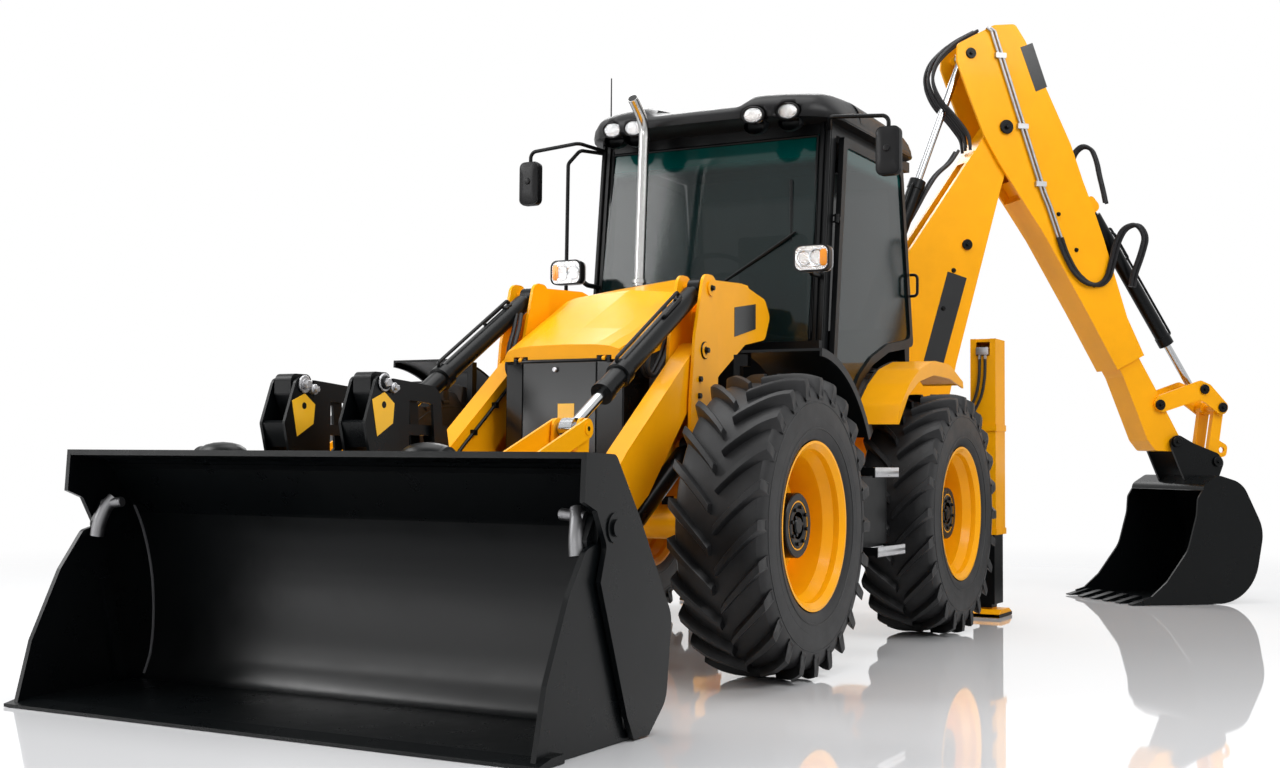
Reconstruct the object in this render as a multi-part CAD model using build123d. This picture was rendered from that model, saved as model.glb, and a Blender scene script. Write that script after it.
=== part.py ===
from build123d import *
from math import cos, hypot, radians, sin, tan
import os

# Backhoe loader, millimetres. X runs forward, Y to the machine's left, Z up.
# Places are measured from the ground under the middle of the rear axle.

# Fits: a pin in its bore, a piece that slides, a piece that rests on another
RUN_FIT = 0.05
SLIDE_FIT = 0.3
SEAT_FIT = 0.2

# Wheels and axles
WHEELBASE = 2218
WHEEL_Y = 1000
TYRE_R = 685
TYRE_W = 430
TYRE_SIDES = 15
LUG_COUNT = 13
LUG_W = 44
LUG_LEAN = 40
RIM_R = 381
RIM_W = 390
RIM_WALL = 12
BEAD_Y = 170
DISC_Y = -10
DISC_WALL = 16
HUB_R = 145
HUB_OUT = 110
SPINDLE_R = 80
KING_Y = 720
KING_R = 30
YOKE_H = 150
YOKE_ARM = 40
AXLE_R = 80
DIFF_R = 185
AXLE_PAD_Y = 330

# Main frame
RAIL_Y = 300
RAIL_W = 60
RAIL_LOW = 800
RAIL_TOP = 1000
FRAME_FRONT = 2385
FRAME_BACK = -1050
PLATE = 15

# Loader tower, arm pins as (x, z), and the arm's middle plane
ARM_Y = 480
ARM_W = 100
SIDE_GAP = 10
TOWER_BACK = 1900
TOWER_PIN = (1990, 1805)
ARM_PIN = (2050, 1500)
LIFT_BASE = (2060, 1040)
LIFT_EYE = (2960, 470)
CRANK_PIN = (3200, 550)
CRANK_TOP = (3160, 1100)
BUCKET_PIN = (3570, 330)
LINK_PIN = (3800, 860)
PIN_R = 28

# Front bucket
BUCKET_HALF = 1220
BUCKET_TOP = (4280, 996)
LIP_X = 4554
BUCKET_PLATE = 20
CLAM_PIN = (4090, 740)
CLAM_PIN_R = 30
CLAM_GAP = 8
FORK_Y = 190
FORK_PIN = (4120, 1250)
FORK_PIN_R = 18

# Bonnet and grille
BONNET_FRONT = 2450
BONNET_BACK = 1250
BONNET_SKIN = 12
BONNET_HINGE = (2446, 1445)
GRILLE_LOW = 900
GRILLE_TOP = 1430
GRILLE_HALF = 325
ENGINE_TOP = 1420

# Cab
CAB_HALF = 720
CAB_FRONT_LOW = 1000
CAB_FRONT_TOP = 820
CAB_BACK = -480
CAB_FLOOR = 1130
SHEET = 40
ARCH_HALF = 560
ARCH_FRONT = 640
ARCH_TOP = 1520
CAB_REAR_WALL = -340
BACK_TOP = -300
SILL = 1620
CAB_TOP = 2830
RAIL_H = 60
POST = 70
GLASS = 8

# Rear frame, stabilisers, kingpost
FRAME_X = -1160
LEG_Y = 1016
HOUSING_W = 163
HOUSING_L = 220
HOUSING_LOW = 520
HOUSING_TOP = 1770
HOUSING_WALL = 12
BEAM_HALF = 50
SLEW_X = -1430
SLEW_ANGLE = -47
SLEW_PIN_R = 40

# Backhoe pins as (reach from the slew axis, z)
BOOM_FOOT = (380, 750)
BOOM_RAM_BASE = (190, 1180)
BOOM_RAM_EYE = (800, 2505)
DIPPER_PIN = (1090, 3350)
DIPPER_RAM_BASE = (20, 1740)
DIPPER_RAM_EYE = (820, 3860)
TIP_RAM_BASE = (1820, 2840)
LEVER_PIN = (2300, 1405)
LEVER_EYE = (2665, 1525)
LEVER_LINK = (2815, 1395)
TOOL_PIN = (2420, 1140)
TOOL_LINK = (2750, 1000)
BIG_PIN_R = 35
TOOL_PIN_R = 30
BOOM_HALF = 110
DIPPER_HALF = 140
INNER_HALF = 120
INNER_LOW = 2560
INNER_HIGH = 2740
HOE_BUCKET_HALF = 450

os.makedirs("parts", exist_ok=True)
NODES = {}


def outline(corners):
    """A flat closed wire in the XZ plane. A corner is (x, z) or (x, z, radius)."""
    edges = []
    starts, ends, mids = [], [], []
    count = len(corners)
    for i, corner in enumerate(corners):
        here = Vector(corner[0], 0, corner[1])
        radius = corner[2] if len(corner) > 2 else 0
        before = Vector(corners[i - 1][0], 0, corners[i - 1][1])
        after = Vector(corners[(i + 1) % count][0], 0, corners[(i + 1) % count][1])
        if radius == 0:
            starts.append(here)
            ends.append(here)
            mids.append(None)
            continue
        back = (before - here).normalized()
        ahead = (after - here).normalized()
        half = radians(back.get_angle(ahead)) / 2
        reach = radius / tan(half)
        middle = here + (back + ahead).normalized() * (radius / sin(half))
        starts.append(here + back * reach)
        ends.append(here + ahead * reach)
        mids.append(middle + (here - middle).normalized() * radius)
    for i in range(count):
        if mids[i] is not None:
            edges.append(Edge.make_three_point_arc(starts[i], mids[i], ends[i]))
        following = starts[(i + 1) % count]
        if (following - ends[i]).length > 1e-6:
            edges.append(Edge.make_line(ends[i], following))
    return Wire(edges)


def plate(corners, low, high):
    """The outline, standing in XZ, thick from y=low to y=high."""
    face = Face(outline(corners)).moved(Location((0, low, 0)))
    return Solid.extrude(face, Vector(0, high - low, 0))


def floor_plan(corners, low, high):
    """A polygon of (x, y), thick from z=low to z=high."""
    wire = Wire.make_polygon([Vector(x, y, low) for x, y in corners])
    return Solid.extrude(Face(wire), Vector(0, 0, high - low))


def box(x0, x1, y0, y1, z0, z1):
    return Solid.make_box(x1 - x0, y1 - y0, z1 - z0, Plane((x0, y0, z0)))


def bar(start, end, radius):
    """A round bar between two points in space."""
    start, end = Vector(*start), Vector(*end)
    return Solid.make_cylinder(radius, (end - start).length, Plane(start, z_dir=end - start))


def pin(place, low, high, radius):
    """A round bar across the machine at (x, z), from y=low to y=high."""
    return bar((place[0], low, place[1]), (place[0], high, place[1]), radius)


def turned(profile, place=(0, 0, 0)):
    """A ring about the Y axis. The profile is a list of (radius, y)."""
    wire = Wire.make_polygon([Vector(r, y, 0) for r, y in profile])
    solid = Solid.revolve(Face(wire), 360, Axis.Y)
    return solid.moved(Location(place))


def pipe(points, radius, bend):
    """A round tube through the points, with an arc of the bend's radius at each corner."""
    path = FilletPolyline(*points, radius=bend)
    section = Plane(path @ 0, z_dir=path % 0) * Circle(radius)
    return sweep(section, path=path).solid()


def mirrored(shape):
    return shape.mirror(Plane.XZ)


def both(shape):
    """The shape and its mirror image on the machine's other side."""
    return [shape, mirrored(shape)]


def fused(first, *others):
    result = first
    for other in others:
        result = result + other
    return result


def along(start, end, distance, side=0):
    """The (x, z) point at a distance from start towards end, and to the left of that way."""
    run = hypot(end[0] - start[0], end[1] - start[1])
    ux, uz = (end[0] - start[0]) / run, (end[1] - start[1]) / run
    return (start[0] + ux * distance - uz * side, start[1] + uz * distance + ux * side)


def ram(base, eye, centre_y, bore, rod, barrel_share, eye_r, eye_w, pin_out, closed=0):
    """A hydraulic ram's barrel and rod, in a plane of constant y. It can close by the last length."""
    length = hypot(eye[0] - base[0], eye[1] - base[1])
    barrel_end = length * barrel_share

    def at(distance):
        x, z = along(base, eye, distance)
        return (x, centre_y, z)

    low, high = centre_y - eye_w / 2, centre_y + eye_w / 2
    hole = pin(base, low, high, PIN_R + RUN_FIT)
    neck = eye_r * 1.7
    barrel = fused(pin(base, low, high, eye_r), bar(at(eye_r * 0.8), at(neck + 1), eye_w / 2))
    barrel = fused(barrel, bar(at(neck), at(barrel_end), bore + 9))
    barrel = fused(barrel, bar(at(barrel_end - 40), at(barrel_end), bore + 14))
    barrel = barrel - hole
    barrel = barrel - bar(at(neck + 20), at(barrel_end + 1), rod + RUN_FIT)
    stem = bar(at(neck + 50 + closed), at(length - eye_r * 0.8), rod)
    end = pin(eye, low, high, eye_r)
    stem = fused(stem, end, pin(eye, low - pin_out, high + pin_out, PIN_R))
    return barrel, stem


def keep(name, *solids):
    NODES[name] = list(solids)


# Axles
def axle(x):
    z = TYRE_R
    tube = bar((x, -KING_Y + 130, z), (x, KING_Y - 130, z), AXLE_R)
    bulge = turned([(0, -130), (DIFF_R * 0.7, -130), (DIFF_R, -60), (DIFF_R, 60), (DIFF_R * 0.7, 130),
                    (0, 130)],
                   (x, 0, z))
    shape = fused(tube, bulge)
    yoke = box(x - 70, x + 70, KING_Y - 150, KING_Y - 95, z - YOKE_H, z + YOKE_H)
    for low in (-YOKE_H, YOKE_H - YOKE_ARM):
        arm = box(x - 65, x + 65, KING_Y - 150, KING_Y + 60, z + low, z + low + YOKE_ARM)
        bore = bar((x, KING_Y, z + low - 1), (x, KING_Y, z + low + YOKE_ARM + 1), KING_R + RUN_FIT)
        yoke = fused(yoke, arm) - bore
    pad = box(x - 90, x + 90, AXLE_PAD_Y - 40, AXLE_PAD_Y + 40, z, RAIL_LOW)
    return fused(shape, yoke, mirrored(yoke), pad, mirrored(pad))


keep("axles", axle(0), axle(WHEELBASE))

# Steering knuckles, with the front pair's mudguards
WHEELS = [
    # name, x, side
    ("front_left", WHEELBASE, 1),
    ("front_right", WHEELBASE, -1),
    ("rear_left", 0, 1),
    ("rear_right", 0, -1),
]
GUARD_R = 790
GUARD_T = 12
GUARD_IN = 800
GUARD_OUT = 1205
STAY_Y = 740
SPINDLE_END = WHEEL_Y + 40


def mudguard(x):
    z = TYRE_R
    sheet = turned([(GUARD_R, GUARD_IN), (GUARD_R + GUARD_T, GUARD_IN), (GUARD_R + GUARD_T, GUARD_OUT),
                    (GUARD_R - 25, GUARD_OUT), (GUARD_R - 25, GUARD_OUT - GUARD_T),
                    (GUARD_R, GUARD_OUT - GUARD_T)],
                   (x, 0, z))
    wedge = plate([(x, z), (x - 60, z + 1000), (x - 900, z + 1000), (x - 1200, z + 720)], GUARD_IN - 10,
                  GUARD_OUT + 10)
    return sheet & wedge


def knuckle(x, guarded):
    z = TYRE_R
    boss = bar((x, KING_Y, z - 105), (x, KING_Y, z + 105), 62)
    kingpin = bar((x, KING_Y, z - YOKE_H + 1), (x, KING_Y, z + YOKE_H - 1), KING_R)
    spindle = bar((x, KING_Y, z), (x, SPINDLE_END, z), SPINDLE_R)
    shape = fused(boss, kingpin, spindle)
    shape = fused(shape, bar((x, KING_Y, z), (x, KING_Y + 80, z), 90))
    if guarded:
        guard = mudguard(x)
        back = x - 120
        stay = fused(box(back - 20, back + 20, STAY_Y, STAY_Y + 32, z - 20, z + GUARD_R - 30),
                     box(back - 20, back + 20, STAY_Y, GUARD_IN + 12, z + GUARD_R - 60, z + GUARD_R - 5))
        foot = box(x - 140, x, STAY_Y, STAY_Y + 32, z - 45, z + 45)
        shape = fused(shape, foot, stay, guard)
    return shape


for name, x, side in WHEELS:
    solid = knuckle(x, x > 0)
    keep("knuckle_" + name, solid if side > 0 else mirrored(solid))


# Wheels: rim, disc and planetary hub
def rim(x):
    half = RIM_W / 2
    outer = [(RIM_R, half), (RIM_R - 25, BEAD_Y + 3), (RIM_R - 27, BEAD_Y - 25), (RIM_R - 52, BEAD_Y - 70)]
    outer += [(r, -y) for r, y in reversed(outer)]
    inner = [(r - RIM_WALL, y) for r, y in reversed(outer)]
    band = turned(outer + inner)
    dish = [(HUB_R - 10, DISC_Y), (250, DISC_Y), (RIM_R - 60, DISC_Y - 45)]
    disc = turned(dish + [(r, y - DISC_WALL) for r, y in reversed(dish)])
    bore = SPINDLE_R + RUN_FIT
    deep = SPINDLE_END - WHEEL_Y + 2
    hub = turned([(bore, -90), (130, -90), (HUB_R, DISC_Y - 30), (HUB_R, DISC_Y + 60), (120, 90),
                  (112, HUB_OUT), (0, HUB_OUT), (0, deep), (bore, deep)])
    return fused(band, disc, hub).moved(Location((x, WHEEL_Y, TYRE_R)))


# Tyre: a many-sided carcass with slanting lugs
def many_sided(y, radius):
    """A regular polygon about the Y axis that just clears a circle of the radius."""
    corner = radius / cos(radians(180 / TYRE_SIDES))
    turns = [radians(360 * i / TYRE_SIDES) for i in range(TYRE_SIDES)]
    return [Vector(corner * sin(t), y, corner * cos(t)) for t in turns]


def many_sided_body(sections):
    """Sections are (y, radius), from one side to the other. Every face is flat."""
    rings = [many_sided(y, radius) for y, radius in sections]
    faces = [Face(Wire.make_polygon(rings[0])), Face(Wire.make_polygon(rings[-1]))]
    for near, far in zip(rings, rings[1:]):
        for i in range(TYRE_SIDES):
            quad = [near[i - 1], near[i], far[i], far[i - 1]]
            faces.append(Face(Wire.make_polygon(quad)))
    return Solid(Shell(faces))


CARCASS_HALF = [(BEAD_Y, RIM_R + 6), (TYRE_W / 2 - 7, 450), (TYRE_W / 2 - 7, 590), (165, 640)]
INSIDE_HALF = [(BEAD_Y + 1, RIM_R - 24.7), (BEAD_Y - 20, RIM_R - 24.7), (BEAD_Y - 22, 590)]
LUG = [
    # distance from the middle plane, height over the axle
    (20, TYRE_R - 80),
    (20, TYRE_R - 7),
    (150, TYRE_R - 7),
    (TYRE_W / 2 - 9, TYRE_R - 38),
    (TYRE_W / 2 - 9, TYRE_R - 110),
]


def lug(turn):
    """One tread bar on the outer half: its side view stands on its own slanting run."""
    slant = tan(radians(LUG_LEAN))
    width = LUG_W / cos(radians(LUG_LEAN))
    corners = [Vector((TYRE_W / 4 - y) * slant - width / 2, y, z) for y, z in LUG]
    solid = Solid.extrude(Face(Wire.make_polygon(corners)), Vector(width, 0, 0))
    return solid.rotate(Axis.Y, turn)


def tyre():
    carcass = many_sided_body(CARCASS_HALF + [(-y, r) for y, r in reversed(CARCASS_HALF)])
    carcass = carcass - many_sided_body(INSIDE_HALF + [(-y, r) for y, r in reversed(INSIDE_HALF)])
    pitch = 360 / LUG_COUNT
    lugs = [lug(i * pitch) for i in range(LUG_COUNT)]
    lugs += [mirrored(lug((i + 0.5) * pitch)) for i in range(LUG_COUNT)]
    return carcass.fuse(*lugs).solid()


rim_solid, tyre_solid = rim(0), tyre()
for name, x, side in WHEELS:
    wheel_rim = rim_solid.moved(Location((x, 0, 0)))
    wheel_tyre = tyre_solid.moved(Location((x, WHEEL_Y, TYRE_R)))
    keep("rim_" + name, wheel_rim if side > 0 else mirrored(wheel_rim))
    keep("tyre_" + name, wheel_tyre if side > 0 else mirrored(wheel_tyre))

# Main frame with the loader towers
rail_middle = RAIL_Y + RAIL_W / 2
rail = box(FRAME_BACK, FRAME_FRONT, RAIL_Y, RAIL_Y + RAIL_W, RAIL_LOW, RAIL_TOP)
CROSS_X = (FRAME_BACK, -500, 700, 1200, FRAME_FRONT - 60)
crosses = [box(x, x + 60, -RAIL_Y - 1, RAIL_Y + 1, RAIL_LOW + 80, RAIL_TOP - 20) for x in CROSS_X]
TOWER_LOW = 850
TOWER = [(TOWER_BACK, TOWER_LOW), (2200, TOWER_LOW), (2190, 1250), (2150, 1560), (2060, 1870, 60),
         (1925, 1870, 60),
         (TOWER_BACK, 1500)]
arm_in, arm_out = ARM_Y - ARM_W / 2 - SIDE_GAP, ARM_Y + ARM_W / 2 + SIDE_GAP
tower = fused(plate(TOWER, arm_in - PLATE, arm_in), plate(TOWER, arm_out, arm_out + PLATE),
              box(TOWER_BACK, TOWER_BACK + PLATE, arm_in - 1, arm_out + 1, TOWER_LOW, 1700),
              box(TOWER_BACK, 2010, RAIL_Y + RAIL_W - 1, arm_out + PLATE, TOWER_LOW, TOWER_LOW + PLATE))
for place in (TOWER_PIN, ARM_PIN, LIFT_BASE):
    tower = fused(tower, pin(place, arm_in - PLATE, arm_out + PLATE, PIN_R),
                  pin(place, arm_out + PLATE - 1, arm_out + PLATE + 8, PIN_R + 10))
for foot in (TOWER_BACK + 5, 2150):
    tower = fused(tower, box(foot, foot + 40, RAIL_Y + RAIL_W - 1, arm_in - PLATE + 1, TOWER_LOW, RAIL_TOP))
engine_mounts = [box(x, x + 90, 190, RAIL_Y + 1, RAIL_TOP - 50, RAIL_TOP) for x in (1400, 2100)]
half_frame = fused(rail, tower, *engine_mounts)
keep("chassis_frame", fused(half_frame, mirrored(half_frame), *crosses))

engine = box(1300, 2300, -250, 250, RAIL_TOP + SEAT_FIT, ENGINE_TOP)
keep("engine_block", engine)

# Loader arms, joined by a cross tube
ARM_SIDE = [(1935, 1400, 90), (1925, 1625, 90), (2160, 1465, 200), (2760, 1010, 300), (3040, 750, 100),
            (3240, 575, 150), (3600, 410, 50), (3640, 300, 50), (3520, 250, 50), (3180, 330, 200),
            (3020, 400, 40),
            (2905, 440, 35), (2900, 605), (2560, 815), (2180, 1200)]
LIFT_SLOT = [(2800, 380), (3030, 380), (3030, 540, 40), (2860, 580)]
CROSS_TUBE = (2780, 850)
arm = plate(ARM_SIDE, ARM_Y - ARM_W / 2, ARM_Y + ARM_W / 2)
arm = arm - pin(ARM_PIN, ARM_Y - ARM_W, ARM_Y + ARM_W, PIN_R + RUN_FIT)
arm = fused(arm, pin(CRANK_PIN, ARM_Y - ARM_W / 2, ARM_Y + ARM_W / 2, 60),
            pin(CRANK_PIN, ARM_Y - 70, ARM_Y + 70, PIN_R))
arm = arm - plate(LIFT_SLOT, ARM_Y - 33, ARM_Y + 33)
arm = arm - pin(BUCKET_PIN, ARM_Y - ARM_W, ARM_Y + ARM_W, PIN_R + RUN_FIT)
for low in (-54, 33):
    arm = fused(arm, pin(LIFT_EYE, ARM_Y + low, ARM_Y + low + 21, PIN_R))
cross_tube = bar((CROSS_TUBE[0], -ARM_Y, CROSS_TUBE[1]), (CROSS_TUBE[0], ARM_Y, CROSS_TUBE[1]), 45)
keep("loader_arms", fused(arm, mirrored(arm), cross_tube))

# Loader rams, one on each side
lift_barrel, lift_rod = ram(LIFT_BASE, LIFT_EYE, ARM_Y, 38, 25, 0.87, 46, 60, 2)
keep("lift_ram_barrels", *both(lift_barrel))
keep("lift_ram_rods", *both(lift_rod))
tilt_barrel, tilt_rod = ram(TOWER_PIN, CRANK_TOP, ARM_Y, 38, 24, 0.78, 46, 60, 22, 240)
keep("tilt_ram_barrels", *both(tilt_barrel))
keep("tilt_ram_rods", *both(tilt_rod))

# Bellcranks beside the arms, and outside them the links to the bucket
CRANK_Y = ARM_W / 2 + 4
CRANK_T = 12
LINK_Y = CRANK_Y + CRANK_T + 8
LINK_T = 12
SPACER_RUN = 455
crank_run = hypot(CRANK_TOP[0] - CRANK_PIN[0], CRANK_TOP[1] - CRANK_PIN[1])
crank_side = [along(CRANK_PIN, CRANK_TOP, -60, 60) + (50,), along(CRANK_PIN, CRANK_TOP, -60, -60) + (50,),
              along(CRANK_PIN, CRANK_TOP, crank_run + 45, -45) + (40,),
              along(CRANK_PIN, CRANK_TOP, crank_run + 45, 45) + (40,)]
crank_in, crank_out = ARM_Y + CRANK_Y, ARM_Y + CRANK_Y + CRANK_T
crank = plate(crank_side, crank_in, crank_out) - pin(CRANK_PIN, crank_in - 1, crank_out + 1,
                                                     PIN_R + RUN_FIT)
crank = fused(crank, pin(CRANK_TOP, crank_in, ARM_Y + LINK_Y + LINK_T + 4, PIN_R))
middle_of_arm = Plane((0, ARM_Y, 0), z_dir=(0, 1, 0))
spacer_at = along(CRANK_PIN, CRANK_TOP, SPACER_RUN)
spacer = pin(spacer_at, ARM_Y - CRANK_Y - 1, ARM_Y + CRANK_Y + 1, 20)
keep("bellcranks", *both(fused(crank, crank.mirror(middle_of_arm), spacer)))

link_run = hypot(LINK_PIN[0] - CRANK_TOP[0], LINK_PIN[1] - CRANK_TOP[1])
link_side = [along(CRANK_TOP, LINK_PIN, -42, 42) + (38,), along(CRANK_TOP, LINK_PIN, -42, -42) + (38,),
             along(CRANK_TOP, LINK_PIN, link_run + 36, -38) + (34,),
             along(CRANK_TOP, LINK_PIN, link_run + 36, 38) + (34,)]
link_in, link_out = ARM_Y + LINK_Y, ARM_Y + LINK_Y + LINK_T
link = plate(link_side, link_in, link_out) - pin(CRANK_TOP, link_in - 1, link_out + 1, PIN_R + RUN_FIT)
link = link - pin(LINK_PIN, link_in - 1, link_out + 1, PIN_R + 2)
keep("bucket_links", *both(link), *both(link.mirror(middle_of_arm)))

# Front bucket: rear wall with its side plates and hinge ears
TOP_X, TOP_Z = BUCKET_TOP
WALL_OUT = [BUCKET_TOP, (TOP_X - 200, TOP_Z - 11, 60), (3900, 760), (3680, 420, 120), (3720, 120, 120),
            (3840, 5)]
WALL_IN = [(3900, 5), (3745, 150, 100), (3705, 400, 110), (3925, 745), (TOP_X - 190, TOP_Z - 36, 50),
           (TOP_X, TOP_Z - 22)]
SIDE = [BUCKET_TOP, (TOP_X - 200, TOP_Z - 6, 40), (3900, 760), (3660, 410, 100), (3700, 110, 100),
        (3830, 5), (3940, 5),
        (3990, 90), (4180, 560), (4140, 680, 40), (4210, 800), (TOP_X + 10, TOP_Z - 166)]
bucket = plate(WALL_OUT + WALL_IN, 1 - BUCKET_HALF, BUCKET_HALF - 1)
cheek = plate(SIDE, BUCKET_HALF - BUCKET_PLATE, BUCKET_HALF)
cheek = fused(cheek, pin(CLAM_PIN, BUCKET_HALF - 1, BUCKET_HALF + 6, 52))
cheek = cheek - pin(CLAM_PIN, BUCKET_HALF - 30, BUCKET_HALF + 10, CLAM_PIN_R + RUN_FIT)
EAR = [(3500, 330, 60), (3570, 250, 60), (3730, 200), (3800, 300), (3700, 420), (3640, 420, 60)]
TOP_EAR = [(3760, 880, 45), (3770, 800, 40), (3870, 700), (3990, 870), (3930, 930), (3820, 915, 45)]
EAR_Y = CRANK_Y
EAR_T = 15
half_bucket = [cheek]
for low in (ARM_Y - EAR_Y - EAR_T, ARM_Y + EAR_Y):
    half_bucket += [plate(EAR, low, low + EAR_T), plate(TOP_EAR, low, low + EAR_T)]
half_bucket.append(pin(BUCKET_PIN, ARM_Y - EAR_Y - EAR_T, ARM_Y + EAR_Y + EAR_T, PIN_R))
half_bucket.append(pin(LINK_PIN, ARM_Y - EAR_Y - EAR_T - 1, ARM_Y + EAR_Y + EAR_T + 1, PIN_R + 6))
# Half-round covers of the clam rams' heads, on the top edge
DOME = (TOP_X - 105, TOP_Z - 45)
half_bucket.append(pin(DOME, 420, 590, 62) & box(TOP_X - 200, TOP_X, 400, 600, TOP_Z - 21, TOP_Z + 60))
FORK_EAR = [(4000, 975), (4085, 1275, 35), (4160, 1275, 35), (4225, 1100, 20), (4190, 975)]
for low in (FORK_Y - 62, FORK_Y + 50):
    half_bucket.append(plate(FORK_EAR, low, low + 12))
half_bucket.append(pin(FORK_PIN, FORK_Y - 66, FORK_Y + 66, FORK_PIN_R))
half_bucket.append(plate([(4165, 1020), (4180, 1010), (4222, 1100), (4205, 1110)], FORK_Y - 51,
                         FORK_Y + 51))
for solid in half_bucket:
    bucket = fused(bucket, solid, mirrored(solid))
keep("front_bucket", bucket)

# Clam jaw: floor with its cutting edge, and two side plates on the clam pins
jaw_out = BUCKET_HALF - BUCKET_PLATE - CLAM_GAP
EDGE = [(LIP_X, 0), (LIP_X, 12), (4480, 28)]
FLOOR = [(3915, 0)] + EDGE + [(3930, 40), (3915, 30)]
BLADE = [(4400, 0)] + EDGE + [(4400, 30)]
JAW = [(3960, 3), (LIP_X - 20, 3), (4470, 250), (4340, 520, 60), (4230, 670, 40), (4155, 690, 20),
       (4140, 790, 30),
       (4060, 795, 30), (4045, 700, 20), (4110, 560), (3990, 150)]
JAW_RIB = [(4000, 60), (4105, 480), (4145, 470), (4040, 45)]
KNUCKLE = [(4030, 720, 25), (4060, 800, 30), (4140, 790, 30), (4200, 700, 30), (4180, 640, 30),
           (4120, 660, 20)]
jaw_side = plate(JAW, jaw_out - BUCKET_PLATE, jaw_out)
jaw_side = fused(jaw_side, plate(KNUCKLE, jaw_out - BUCKET_PLATE - 45, jaw_out - BUCKET_PLATE + 1),
                 plate(JAW_RIB, jaw_out - BUCKET_PLATE - 20, jaw_out - BUCKET_PLATE + 1),
                 pin(CLAM_PIN, jaw_out - BUCKET_PLATE, BUCKET_HALF + 16, CLAM_PIN_R))
jaw = fused(plate(FLOOR, -jaw_out, jaw_out), plate(BLADE, -BUCKET_HALF, BUCKET_HALF), jaw_side,
            mirrored(jaw_side))
keep("clam_jaw", jaw)

# Forks that flip over the bucket
FORK = [(4170, 1290, 30), (4170, 1210, 20), (4080, 1060), (3735, 1060), (3555, 330), (3510, 340),
        (3690, 1100),
        (4000, 1100), (4060, 1290, 30)]
fork = plate(FORK, FORK_Y - 40, FORK_Y + 40) - pin(FORK_PIN, FORK_Y - 50, FORK_Y + 50, FORK_PIN_R + RUN_FIT)
keep("flip_forks", *both(fork))


# Bonnet: a lofted lid with a raised middle, and its hinge ears on the grille
def section(x, half, low, top, crown):
    points = [(half, low), (half, top - 70), (half - 22, top - 24), (half - 75, top - 8), (half - 150, top),
              (0, top + crown)]
    return Wire.make_polygon([Vector(x, y, z) for y, z in points + [(-y, z) for y,
                                                                    z in reversed(points[:-1])]])


BONNET = [
    # x, half width, lowest z, shoulder z, crown
    (BONNET_FRONT, 330, 1440, 1512, 4),
    (2250, 360, 1470, 1600, 12),
    (1800, 390, 1600, 1820, 20),
    (BONNET_BACK, 435, 1700, 1925, 30),
]
INNER_SHIFT = (-14, 0, 0, -1)
HINGE_R = 6
HINGE_SIDES = [(195, 210), (250, 265)]
hinge_x, hinge_z = BONNET_HINGE
outer = Solid.make_loft([section(*row) for row in BONNET], True)
inner = Solid.make_loft([section(x + shift, half - BONNET_SKIN, low - 10, top - 14, crown)
                         for (x, half, low, top, crown), shift in zip(BONNET, INNER_SHIFT)], True)
bonnet = outer - inner
notch = box(hinge_x - 40, BONNET_FRONT + 20, 190, 270, 1400, hinge_z + 16)
ear = fused(box(hinge_x - 12, hinge_x - 2, 222, 238, hinge_z, hinge_z + 30),
            pin(BONNET_HINGE, 222, 238, 12))
ear = ear - pin(BONNET_HINGE, 220, 240, HINGE_R + RUN_FIT)
for side_notch, side_ear in zip(both(notch), both(ear)):
    bonnet = fused(bonnet - side_notch, side_ear)
keep("bonnet", bonnet)

# Grille: three upright planes with ribs and louvres
GRILLE_BACK = FRAME_FRONT + SEAT_FIT
GRILLE_PLAN = [(GRILLE_BACK, -GRILLE_HALF), (2425, -GRILLE_HALF), (2466, -205), (2466, 205),
               (2425, GRILLE_HALF),
               (GRILLE_BACK, GRILLE_HALF)]
LOUVRES = 9
grille = floor_plan(GRILLE_PLAN, GRILLE_LOW, GRILLE_TOP)
louvre_pitch = (GRILLE_TOP - GRILLE_LOW - 120) / LOUVRES
for i in range(LOUVRES):
    z = GRILLE_LOW + 40 + i * louvre_pitch
    grille = grille - box(2455, 2470, -190, 190, z, z + louvre_pitch * 0.35)
for low, high in HINGE_SIDES:
    lug_plate = fused(box(hinge_x - 10, hinge_x + 10, low, high, GRILLE_TOP - 5, hinge_z),
                      pin(BONNET_HINGE, low, high, 10))
    grille = fused(grille, lug_plate, mirrored(lug_plate))
hinge_pin = pin(BONNET_HINGE, HINGE_SIDES[0][0], HINGE_SIDES[1][1], HINGE_R)
side_shield = box(2180, GRILLE_BACK + 1, 314, GRILLE_HALF, RAIL_TOP + SEAT_FIT, GRILLE_TOP - 20)
grille = fused(grille, hinge_pin, mirrored(hinge_pin), side_shield, mirrored(side_shield))
keep("grille", grille)

PANEL = [(TOWER_BACK - SEAT_FIT, 1300), (TOWER_BACK - SEAT_FIT, 1860, 20), (1509, 1880, 40),
         (1218, 1824, 60),
         (1152, 1739, 40), (1216, 1612, 60), (1468, 1568, 60), (1764, 1400, 40)]
panel = plate(PANEL, 450, 500)
keep("side_panels", *both(panel))

# Exhaust stack: stands on the right rail, its end turned forward
EXHAUST_R = 38
EXHAUST_Y = -250
stack = pipe([(1195, -rail_middle, RAIL_TOP + SEAT_FIT), (1195, -rail_middle, 1150),
              (1222, EXHAUST_Y, 1300),
              (1184, EXHAUST_Y, 2860), (1326, EXHAUST_Y, 2965)], EXHAUST_R, 90)
keep("exhaust", stack)


# Cab: floor, posts, cross rails
def post(x0, z0, x1, z1, y, width=POST, deep=POST):
    half = width / 2
    return plate([(x0 - half, z0), (x0 + half, z0), (x1 + half, z1), (x1 - half, z1)], y - deep / 2,
                 y + deep / 2)


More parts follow.
